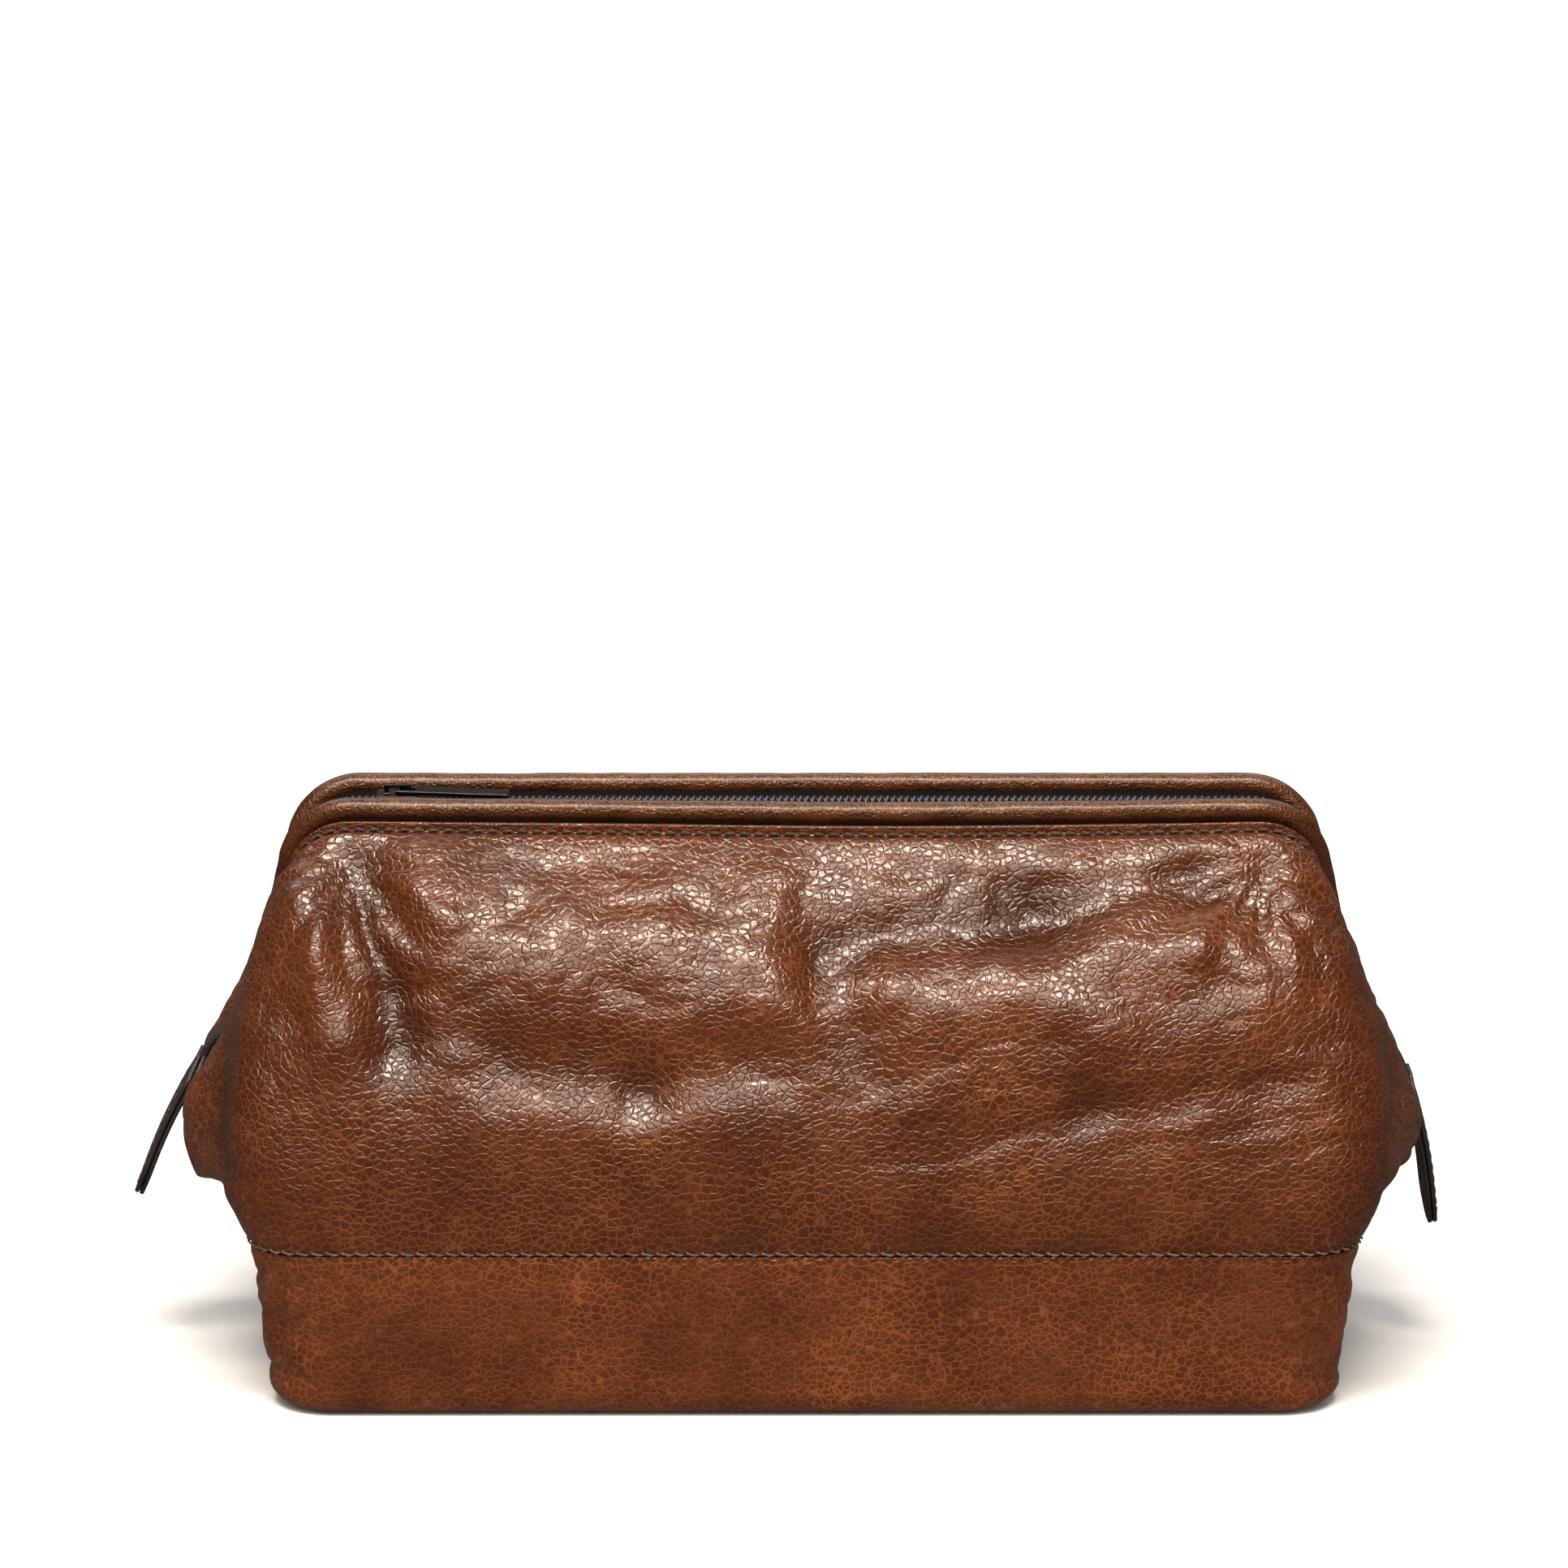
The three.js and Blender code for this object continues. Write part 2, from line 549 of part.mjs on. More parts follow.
// The puller: a flat bar with a slot. The bar at the end of its slot turns in the hole of the
// bridge, and the rest lies back along the closed coil.
const halfPuller = PULLER.width / 2;
const halfThickness = PULLER.thickness / 2;
const pullerBar = block(
  -PULLER_SLOT.start,
  PULLER.length,
  -halfPuller,
  halfPuller,
  -halfThickness,
  halfThickness,
);
const pullerSlot = block(
  PULLER_SLOT.start,
  PULLER_SLOT.end,
  -PULLER_SLOT.halfWidth,
  PULLER_SLOT.halfWidth,
  -PULLER.thickness,
  PULLER.thickness,
);
const puller = addPart("zip_puller", cut(pullerBar, pullerSlot), gunmetal);
puller.position.set(SLIDER.x, 0, (upperPlate[1] + holeTop) / 2);
puller.rotation.y = THREE.MathUtils.degToRad(PULLER.lay);

// Metal stops clipped on the tapes at both ends of the coil.
for (const [side, half] of HALVES) {
  for (const [end, name] of ENDS) {
    const w = legShareAt(ZIP_START - STOP.length);
    const at = zipPoint(side, end < 0 ? w : 1 - w, STOP.across, 0);
    const stop = new THREE.BoxGeometry(STOP.length, STOP.width, STOP.height);
    stop.rotateY(end * -Math.atan(LEG_LEAN)).translate(at.x, at.y, at.z);
    addPart(`${half}_zip_stop_${name}`, stop, gunmetal);
  }
}

// ---- Leather tabs at the ends of the zip --------------------------------------------------
// Each tab is two plies, sewn face to face, that hang from a neck strap over the hinge.
function tabPly(depth) {
  const half = TAB.width / 2;
  const outline = new THREE.Shape();
  outline.moveTo(-TAB.neckWidth / 2, 0);
  outline.lineTo(-half, -TAB.neckLength);
  outline.lineTo(-half, -TAB.length + half);
  outline.absarc(0, -TAB.length + half, half, Math.PI, 2 * Math.PI);
  outline.lineTo(half, -TAB.neckLength);
  outline.lineTo(TAB.neckWidth / 2, 0);
  outline.closePath();
  const settings = { depth: TAB.ply, bevelEnabled: false, curveSegments: 8 };
  const ply = new THREE.ExtrudeGeometry(outline, settings);
  return ply.rotateX(Math.PI / 2).rotateZ(Math.PI / 2).translate(depth, 0, 0);
}

// The neck strap runs from between the legs, over the hinge, to just above the tab's fold.
function neckStrap(end, foldX, foldZ) {
  const line = [
    [HINGE_X + STRAP.topX, STRAP.topZ],
    [HINGE_X + STRAP.bendX, STRAP.bendZ],
    [Math.abs(foldX) - STRAP_END.back, foldZ + STRAP_END.above],
  ];
  const face = (out, up) =>
    line.map(([x, z]) =>
      [-STRAP.halfWidth, STRAP.halfWidth].map((y) => new THREE.Vector3(end * (x + out), y, z + up)),
    );
  return sheet(face(STRAP.out, STRAP.up), face(0, 0));
}

const TAB_HANGS = {
  left: { end: -1, fold: [-131.2, 65], lean: 25 },
  right: { end: 1, fold: [131.6, 61], lean: 10.5 },
};
for (const [name, { end, fold, lean }] of Object.entries(TAB_HANGS)) {
  for (const [ply, depth] of [["inner", -TAB.ply - GAP / 2], ["outer", GAP / 2]]) {
    const tab = addPart(`${name}_tab_${ply}`, tabPly(depth), darkLeather);
    tab.position.set(fold[0], 0, fold[1]);
    tab.rotation.set(0, THREE.MathUtils.degToRad(-end * lean), end < 0 ? Math.PI : 0);
  }
  addPart(`${name}_zip_end`, neckStrap(end, ...fold), zipCloth);
}

export default kitBag;
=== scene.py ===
"""Looks of the framed leather shaving kit bag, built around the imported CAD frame."""
import math

import bpy
import numpy as np
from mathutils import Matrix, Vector, noise


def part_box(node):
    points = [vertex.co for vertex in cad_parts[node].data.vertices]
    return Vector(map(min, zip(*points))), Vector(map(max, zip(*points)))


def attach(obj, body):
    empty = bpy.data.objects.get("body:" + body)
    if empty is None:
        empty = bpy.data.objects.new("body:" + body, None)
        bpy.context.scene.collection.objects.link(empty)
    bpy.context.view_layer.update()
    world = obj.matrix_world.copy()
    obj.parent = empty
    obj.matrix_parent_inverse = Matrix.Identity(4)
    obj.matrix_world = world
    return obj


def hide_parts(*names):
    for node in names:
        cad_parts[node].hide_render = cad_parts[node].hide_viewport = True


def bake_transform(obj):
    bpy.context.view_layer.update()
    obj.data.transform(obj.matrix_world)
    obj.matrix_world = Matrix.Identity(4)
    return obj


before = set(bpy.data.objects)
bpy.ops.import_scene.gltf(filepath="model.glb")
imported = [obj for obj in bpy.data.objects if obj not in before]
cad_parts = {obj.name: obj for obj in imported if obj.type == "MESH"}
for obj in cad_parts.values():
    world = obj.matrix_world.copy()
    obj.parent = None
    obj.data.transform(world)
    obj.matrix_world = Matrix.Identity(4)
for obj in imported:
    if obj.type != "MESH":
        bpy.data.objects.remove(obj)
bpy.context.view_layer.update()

MM = 0.001

# ==== Driving dimensions, read from the frame where it gives them ====
tray_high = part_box("base_tray")[1]
SEAM_Z = tray_high.z + 0.3 * MM
SEAM_HALF_LENGTH = tray_high.x
SEAM_HALF_DEPTH = tray_high.y
CORNER_RADIUS = 14 * MM
BASE_HALF_LENGTH = 112.5 * MM
BASE_HALF_DEPTH = 57.5 * MM
BASE_EDGE = 5 * MM
LEATHER = 1.3 * MM
CASING_RADIUS = 2.6 * MM

hinge_low, hinge_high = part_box("left_hinge_pin")
HINGE_Z = (hinge_low.z + hinge_high.z) / 2
LEG_FOOT_X = 121.5 * MM
LEG_LEAN = 10.5 / 48
FRAME_HEIGHT = 61.2 * MM
FRAME_TILT = math.radians(12.2)
FRAME_CORNER = 14 * MM
ZIP_DROP = 1.1 * MM
ZIP_START = 26 * MM

# shares of the way round the outline, and of the way along a frame half
END_SHARE = 0.13
CORNER_SHARE = 0.07
LEG_SHARE = 0.16
BEND_SHARE = 0.06

STITCH_PITCH = 3.15 * MM
COIL_PITCH = 1.45 * MM

FRONT, REAR = -1, 1
HALF_NAME = {FRONT: "front", REAR: "rear"}


# ==== Small helpers ====
def lerp(a, b, t):
    return a + (b - a) * t


def smoothstep(x, low, high):
    t = np.clip((x - low) / (high - low), 0, 1)
    return t * t * (3 - 2 * t)


def link(name, data):
    obj = bpy.data.objects.new(name, data)
    bpy.context.scene.collection.objects.link(obj)
    return obj


def new_object(name, points, faces, material, slot, smooth=True):
    """A mesh object with its grain coordinates and its material; its slot argument is not used."""
    mesh = bpy.data.meshes.new(name)
    mesh.from_pydata([tuple(p) for p in points], [], faces)
    mesh.update()
    grain = mesh.attributes.new("grain", "FLOAT_VECTOR", "POINT")
    grain.data.foreach_set("vector", np.array(points, np.float32).ravel())
    if smooth:
        mesh.shade_smooth()
    obj = link(name, mesh)
    mesh.materials.append(material)
    return obj


def grid_faces(rows, columns, offset=0, closed=False, flip=False):
    faces = []
    last = columns if closed else columns - 1
    for r in range(rows - 1):
        for c in range(last):
            a = offset + r * columns + c
            b = offset + r * columns + (c + 1) % columns
            d = b + columns
            e = a + columns
            faces.append((a, e, d, b) if flip else (a, b, d, e))
    return faces


def shell(outer, inner, backwards=False):
    """Points and faces of a sheet between two grids, with closed rims; backwards turns it round."""
    if backwards:
        outer, inner = outer[:, ::-1], inner[:, ::-1]
    rows, columns = outer.shape[:2]
    count = rows * columns
    points = np.concatenate([outer.reshape(-1, 3), inner.reshape(-1, 3)])
    faces = grid_faces(rows, columns) + grid_faces(rows, columns, count, flip=True)
    for c in range(columns - 1):
        top = (rows - 1) * columns + c
        faces.append((c + 1, c, count + c, count + c + 1))
        faces.append((top, top + 1, count + top + 1, count + top))
    for r in range(rows - 1):
        left = r * columns
        right = left + columns - 1
        faces.append((left, left + columns, count + left + columns, count + left))
        faces.append((right + columns, right, count + right, count + right + columns))
    return points, faces


def tube(path, radius, sides):
    """Points and faces of a round tube along a path of 3-D points, with flat caps."""
    path = np.array(path, float)
    count = len(path)
    tangents = np.roll(path, -1, axis=0) - np.roll(path, 1, axis=0)
    tangents[0] = path[1] - path[0]
    tangents[-1] = path[-1] - path[-2]
    tangents /= np.linalg.norm(tangents, axis=1)[:, None]
    radii = np.broadcast_to(np.asarray(radius, float), (count,))
    side = np.cross(tangents[0], (0.0, 0.0, 1.0))
    if np.linalg.norm(side) < 1e-3:
        side = np.cross(tangents[0], (0.0, 1.0, 0.0))
    points = []
    for k in range(count):
        side = side - tangents[k] * np.dot(side, tangents[k])
        side /= np.linalg.norm(side)
        up = np.cross(side, tangents[k])
        for i in range(sides):
            angle = 2 * math.pi * i / sides
            points.append(path[k] + radii[k] * (math.cos(angle) * side + math.sin(angle) * up))
    faces = grid_faces(count, sides, closed=True)
    faces.append(tuple(reversed(range(sides))))
    faces.append(tuple((count - 1) * sides + i for i in range(sides)))
    return points, faces


class Batch:
    """Collects many small pieces into one mesh."""

    def __init__(self):
        self.points = []
        self.faces = []

    def add(self, points, faces):
        start = len(self.points)
        self.points.extend(points)
        self.faces.extend(tuple(start + i for i in face) for face in faces)


# ==== Materials ====
class Nodes:
    """A short way of writing a node material."""

    def __init__(self, name, on_cad=False):
        self.material = bpy.data.materials.new(name)
        self.material.use_nodes = True
        self.tree = self.material.node_tree
        self.bsdf = self.tree.nodes["Principled BSDF"]
        self.on_cad = on_cad

    def add(self, kind, inputs=None, **settings):
        node = self.tree.nodes.new(kind)
        for key, value in settings.items():
            setattr(node, key, value)
        for key, value in (inputs or {}).items():
            self.feed(node.inputs[key], value)
        return node

    def feed(self, socket, value):
        if isinstance(value, bpy.types.NodeSocket):
            self.tree.links.new(value, socket)
        else:
            socket.default_value = value

    def grain(self, scale=1000.0):
        """The place on the piece at rest, in millimetres unless another stretch is given."""
        if self.on_cad:
            place = self.add("ShaderNodeTexCoord").outputs["Object"]
        else:
            place = self.add("ShaderNodeAttribute", attribute_name="grain").outputs["Vector"]
        stretch = scale if isinstance(scale, tuple) else (scale,) * 3
        return self.add("ShaderNodeMapping", {"Vector": place, "Scale": stretch}).outputs["Vector"]

    def noise(self, vector, scale, detail=2.0, roughness=0.5):
        inputs = {"Vector": vector, "Scale": scale, "Detail": detail, "Roughness": roughness}
        return self.add("ShaderNodeTexNoise", inputs).outputs["Fac"]

    def cells(self, vector, scale, feature="DISTANCE_TO_EDGE"):
        return self.add("ShaderNodeTexVoronoi", {"Vector": vector, "Scale": scale}, feature=feature)

    def math(self, operation, a, b=0.0, c=0.0):
        node = self.add("ShaderNodeMath", operation=operation)
        for socket, value in zip(node.inputs, (a, b, c)):
            self.feed(socket, value)
        return node.outputs[0]

    def ramp(self, value, low, high, to_low=0.0, to_high=1.0):
        node = self.add("ShaderNodeMapRange", {"Value": value}, interpolation_type="SMOOTHSTEP")
        limits = {"From Min": low, "From Max": high, "To Min": to_low, "To Max": to_high}
        for key, item in limits.items():
            self.feed(node.inputs[key], item)
        return node.outputs["Result"]

    def mix(self, factor, a, b):
        node = self.add("ShaderNodeMix", data_type="RGBA")
        self.feed(node.inputs["Factor"], factor)
        colours = [socket for socket in node.inputs if socket.type == "RGBA"]
        self.feed(colours[0], a)
        self.feed(colours[1], b)
        return next(socket for socket in node.outputs if socket.type == "RGBA")

    def warp(self, vector, scale, amount):
        """The vector pushed about by noise, so that cells lose their straight edges."""
        inputs = {"Vector": vector, "Scale": scale, "Detail": 2.0}
        shift = self.add("ShaderNodeTexNoise", inputs).outputs["Color"]
        centred = self.add("ShaderNodeVectorMath", {0: shift, 1: (0.5, 0.5, 0.5)}, operation="SUBTRACT")
        inputs = {0: centred.outputs[0], "Scale": amount}
        scaled = self.add("ShaderNodeVectorMath", inputs, operation="SCALE")
        moved = self.add("ShaderNodeVectorMath", {0: vector, 1: scaled.outputs[0]}, operation="ADD")
        return moved.outputs[0]

    def bump(self, height, distance, strength=1.0):
        inputs = {"Height": height, "Distance": distance, "Strength": strength}
        return self.add("ShaderNodeBump", inputs).outputs["Normal"]

    def surface(self, **values):
        for key, value in values.items():
            self.feed(self.bsdf.inputs[key.replace("_", " ")], value)
        return self.material


GLAZE_TINT = (1, 0.72, 0.5, 1)  # the glaze is stained like the hide


def body_leather(name, lightness):
    """Glazed, pebbled cognac hide: dark domed cells that shine, and lighter, duller veins."""
    n = Nodes(name)

    def dyed(red, green, blue):
        return (red * lightness, green * lightness, blue * lightness, 1)

    place = n.warp(n.warp(n.grain((1000.0, 1000.0, 1120.0)), 0.05, 4.0), 0.35, 0.6)
    pebble = n.cells(place, 0.6).outputs["Distance"]
    small = n.cells(n.warp(place, 0.9, 0.3), 1.25).outputs["Distance"]
    patches = n.noise(n.grain(), 0.035, 3.0, 0.55)
    mottle = n.noise(n.grain(), 0.05, 5.0, 0.55)
    fine = n.noise(n.grain(), 1.6, 3.0, 0.6)

    vein = n.math("SUBTRACT", 1.0, n.ramp(pebble, 0.0, n.ramp(patches, 0.36, 0.64, 0.085, 0.13)))
    crease = n.math("SUBTRACT", 1.0, n.ramp(small, 0.0, 0.06))
    tone = n.cells(place, 0.6, "F1").outputs["Color"]
    tone = n.add("ShaderNodeSeparateColor", {"Color": tone}).outputs["Red"]

    tops = n.mix(n.ramp(mottle, 0.32, 0.68), dyed(0.062, 0.0122, 0.0023), dyed(0.1, 0.0232, 0.0048))
    tops = n.mix(n.math("MULTIPLY", tone, 0.45), tops, dyed(0.036, 0.0062, 0.0014))
    veins = n.mix(n.ramp(mottle, 0.3, 0.7), dyed(0.16, 0.038, 0.008), dyed(0.225, 0.061, 0.014))
    vein_share = n.math("MULTIPLY", vein, n.ramp(patches, 0.34, 0.64, 0.35, 0.72))
    colour = n.mix(n.math("MULTIPLY", crease, 0.12), tops, veins)
    colour = n.mix(vein_share, colour, veins)
    # painted shade: the hide's colour is pulled towards a deep brown in the hollows of the panel folds,
    # more the deeper each point lies below its plain curve
    fold_relief_for_shade = n.add("ShaderNodeAttribute", attribute_name="fold_relief_for_shade").outputs["Fac"]
    colour = n.mix(n.ramp(fold_relief_for_shade, -3.2, 0.4, 0.6, 0.0), colour, dyed(0.024, 0.0042, 0.0009))

    relief = n.math("SUBTRACT", n.ramp(pebble, 0.0, 0.2), n.math("MULTIPLY", crease, 0.14))
    relief = n.math("MULTIPLY_ADD", fine, 0.07, relief)
    gloss = n.math("MULTIPLY_ADD", crease, 0.1, n.ramp(pebble, 0.0, 0.1, 0.72, 0.24))
    return n.surface(
        Base_Color=colour,
        Roughness=n.math("MULTIPLY_ADD", fine, 0.1, gloss),
        Normal=n.bump(relief, 0.13 * MM),
        Specular_IOR_Level=0.24,
        Specular_Tint=GLAZE_TINT,
        Coat_Weight=0.6,
        Coat_Roughness=0.17,
        Coat_Normal=n.bump(relief, 0.068 * MM),
    )


def casing_leather():
    """The same hide pulled thin over the frame: fine lengthwise wrinkles and small pores."""
    n = Nodes("casing_leather")
    wrinkle = n.noise(n.grain((240.0, 1500.0, 1500.0)), 0.9, 4.0, 0.6)
    pores = n.cells(n.warp(n.grain(), 0.8, 0.8), 1.1).outputs["Distance"]
    mottle = n.noise(n.grain(), 0.12, 4.0)
    colour = n.mix(n.ramp(mottle, 0.3, 0.7), (0.025, 0.0056, 0.0014, 1), (0.056, 0.0145, 0.0032, 1))
    colour = n.mix(n.ramp(pores, 0.0, 0.12, 0.25, 0.0), colour, (0.19, 0.05, 0.009, 1))
    relief = n.math("MULTIPLY_ADD", n.ramp(pores, 0.0, 0.25), 0.5, wrinkle)
    return n.surface(
        Base_Color=colour,
        Roughness=n.ramp(wrinkle, 0.3, 0.7, 0.4, 0.24),
        Normal=n.bump(relief, 0.17 * MM, 0.9),
        Specular_Tint=GLAZE_TINT,
        Coat_Weight=0.25,
        Coat_Roughness=0.22,
    )


def tab_leather():
    """Smooth, nearly black hide with tiny pores and a slight dusty wear."""
    n = Nodes("tab_leather")
    pores = n.cells(n.warp(n.grain(), 0.8, 0.8), 1.7).outputs["Distance"]
    mottle = n.noise(n.grain(), 0.3, 4.0)
    return n.surface(
        Base_Color=n.mix(mottle, (0.009, 0.0062, 0.006, 1), (0.026, 0.0175, 0.0155, 1)),
        Roughness=n.ramp(mottle, 0.25, 0.75, 0.55, 0.38),
        Normal=n.bump(n.ramp(pores, 0.0, 0.25), 0.08 * MM, 0.8),
        Coat_Weight=0.1,
        Coat_Roughness=0.3,
    )


def woven(name, dark, light, thread_mm, sheen):
    """Plain weave: two crossed sets of threads, thicker here and there."""
    n = Nodes(name)
    parts = n.add("ShaderNodeSeparateXYZ", {"Vector": n.grain()})
    x, y, z = (parts.outputs[axis] for axis in "XYZ")
    turn = math.pi / thread_mm
    across = n.math("SINE", n.math("MULTIPLY", n.math("ADD", x, y), turn))
    along = n.math("SINE", n.math("MULTIPLY", n.math("SUBTRACT", z, y), turn))
    weave = n.math("MULTIPLY_ADD", n.math("MULTIPLY", across, along), 0.5, 0.5)
    slub = n.noise(n.grain((1000.0, 300.0, 1000.0)), 1.0, 3.0)
    return n.surface(
        Base_Color=n.mix(n.math("MULTIPLY", weave, slub), dark, light),
        Roughness=n.ramp(slub, 0.2, 0.8, 0.9, 0.72),
        Normal=n.bump(weave, 0.1 * MM, 0.7),
        Specular_IOR_Level=0.08,
        Sheen_Weight=sheen,
        Sheen_Roughness=0.5,
    )


def thread(name, dark, light):
    """Waxed sewing thread with fine fibres: painted shade darkens the hollows between its fibres, and
    random soil darkens it in patches.
    """
    n = Nodes(name)
    fibres = n.noise(n.grain(), 4.0, 3.0, 0.6)
    soil = n.noise(n.grain(), 0.25, 2.0)
    # painted shade in the fibre hollows, times random soil
    soil_and_fibre_shade = n.math("MULTIPLY", n.ramp(fibres, 0.3, 0.7), n.ramp(soil, 0.3, 0.65, 0.45, 1.0))
    return n.surface(
        Base_Color=n.mix(soil_and_fibre_shade, dark, light),
        Roughness=n.ramp(fibres, 0.3, 0.7, 0.5, 0.68),
        Normal=n.bump(fibres, 0.08 * MM, 0.8),
        Sheen_Weight=0.05,
    )


def zip_nylon():
    n = Nodes("zip_nylon")
    streak = n.noise(n.grain(), 1.1, 3.0)
    return n.surface(
        Base_Color=n.mix(streak, (0.02, 0.019, 0.027, 1), (0.085, 0.08, 0.105, 1)),
        Roughness=n.ramp(streak, 0.3, 0.7, 0.28, 0.44),
        Normal=n.bump(streak, 0.05 * MM, 0.5),
    )


def brushed_metal(name, dark, light, low, high, on_cad):
    """Metal with fine lengthwise streaks and duller smudges."""
    n = Nodes(name, on_cad)
    streaks = n.noise(n.grain((120.0, 2600.0, 2600.0)), 1.0, 4.0, 0.65)
    smudge = n.noise(n.grain(), 0.25, 3.0)
    return n.surface(
        Base_Color=n.mix(streaks, dark, light),
        Metallic=1.0,
        Roughness=n.ramp(smudge, 0.3, 0.7, low, high),
        Normal=n.bump(streaks, 0.02 * MM, 0.5),
    )


def fibre_board():
    n = Nodes("fibre_board", on_cad=True)
    specks = n.noise(n.grain(), 0.9, 5.0, 0.7)
    return n.surface(
        Base_Color=n.mix(specks, (0.16, 0.13, 0.1, 1), (0.33, 0.28, 0.21, 1)),
        Roughness=n.ramp(specks, 0.3, 0.7, 0.95, 0.8),
        Normal=n.bump(specks, 0.1 * MM, 0.6),
    )


LINING_COLOURS = ((0.03, 0.022, 0.017, 1), (0.11, 0.083, 0.062, 1))
# partly painted shade: the zip cloth is dark, and its colour is pushed nearly to black to stand for the
# shade in the gap between the frame rolls
ZIP_CLOTH_AND_SHADE_COLOURS = ((0.0018, 0.0016, 0.002, 1), (0.008, 0.007, 0.009, 1))
GUNMETAL_COLOURS = ((0.014, 0.014, 0.016, 1), (0.05, 0.05, 0.055, 1))

# painted light: panels and base share one hide in two copies of different lightness, 0.77 and 1.1, set to
# even out how the lamps light the panels and the tray
BODY = body_leather("panel_hide", 0.77)
BASE = body_leather("base_hide", 1.1)
CASING = casing_leather()
TAB = tab_leather()
LINING = woven("lining_cloth", *LINING_COLOURS, 0.55, 0.3)
TAPE_CLOTH_AND_SHADE = woven("tape_cloth", *ZIP_CLOTH_AND_SHADE_COLOURS, 0.5, 0.0)
# painted shade: the stitches under the front roll use a darker copy of the seam thread, for the shade they
# lie in
TOP_THREAD_SHADED = thread("top_thread_shaded", (0.016, 0.008, 0.005, 1), (0.09, 0.05, 0.032, 1))
SEAM_THREAD = thread("seam_thread", (0.03, 0.017, 0.012, 1), (0.2, 0.13, 0.098, 1))
TAB_THREAD = thread("tab_thread", (0.03, 0.027, 0.027, 1), (0.17, 0.155, 0.16, 1))
NYLON = zip_nylon()
GUNMETAL = brushed_metal("gunmetal", *GUNMETAL_COLOURS, 0.22, 0.38, on_cad=False)

CAD_FINISHES = {
    brushed_metal("frame_steel", (0.42, 0.42, 0.41, 1), (0.7, 0.7, 0.69, 1), 0.24, 0.4, on_cad=True): (
        "front_frame", "rear_frame", "left_hinge_pin", "right_hinge_pin",
    ),
    brushed_metal("stop_metal", *GUNMETAL_COLOURS, 0.25, 0.4, on_cad=True): (
        "front_zip_stop_left", "front_zip_stop_right", "rear_zip_stop_left", "rear_zip_stop_right",
    ),
    fibre_board(): ("base_board",),
}
for finish, nodes in CAD_FINISHES.items():
    for node in nodes:
        for material_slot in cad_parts[node].material_slots:
            material_slot.link = "OBJECT"
            material_slot.material = finish


# ==== Shape of the bag: the same outline, frame path and panel curves as the CAD model ====
def outline_point(s, half_length, half_depth, radius):
    """Front half of the outline: s runs from the left end (0) round the front to the right (1)."""
    if s > 0.5:
        x, y = outline_point(1 - s, half_length, half_depth, radius)
        return -x, y
    if s < END_SHARE:
        return -half_length, -(half_depth - radius) * s / END_SHARE
    turned = (s - END_SHARE) / CORNER_SHARE
    if turned < 1:
        angle = turned * math.pi / 2
        return (
            -half_length + radius - radius * math.cos(angle),
            -half_depth + radius - radius * math.sin(angle),
        )
    along = (s - END_SHARE - CORNER_SHARE) / (0.5 - END_SHARE - CORNER_SHARE)
    return -(half_length - radius) * (1 - along), -half_depth


LEG_ANGLE = math.atan2(1, LEG_LEAN)
BEND = FRAME_CORNER * math.tan(LEG_ANGLE / 2)
CORNER_X = LEG_FOOT_X - FRAME_HEIGHT * LEG_LEAN


def frame_plane_point(w):
    """x and height in the frame's plane, and the inward direction there."""
    if w > 0.5:
        x, h, in_x, in_h = frame_plane_point(1 - w)
        return -x, h, -in_x, in_h
    along_x, along_h = math.cos(LEG_ANGLE), math.sin(LEG_ANGLE)
    if w < LEG_SHARE:
        h = (FRAME_HEIGHT - BEND * along_h) * w / LEG_SHARE
        return -LEG_FOOT_X + h * LEG_LEAN, h, along_h, -along_x
    turned = (w - LEG_SHARE) / BEND_SHARE
    if turned < 1:
        angle = math.pi / 2 + LEG_ANGLE * (1 - turned)
        out_x, out_h = math.cos(angle), math.sin(angle)
        x = -CORNER_X + BEND + FRAME_CORNER * out_x
        return x, FRAME_HEIGHT - FRAME_CORNER * (1 - out_h), -out_x, -out_h
    along = (w - LEG_SHARE - BEND_SHARE) / (0.5 - LEG_SHARE - BEND_SHARE)
    return (-CORNER_X + BEND) * (1 - along), FRAME_HEIGHT, 0.0, -1.0


def beside_frame(side, w, inwards=0.0, outwards=0.0):
    x, h, in_x, in_h = frame_plane_point(w)
    h += in_h * inwards
    y = math.sin(FRAME_TILT) * h + math.cos(FRAME_TILT) * outwards
    z = HINGE_Z + math.cos(FRAME_TILT) * h - math.sin(FRAME_TILT) * outwards
    return np.array((x + in_x * inwards, side * y, z))


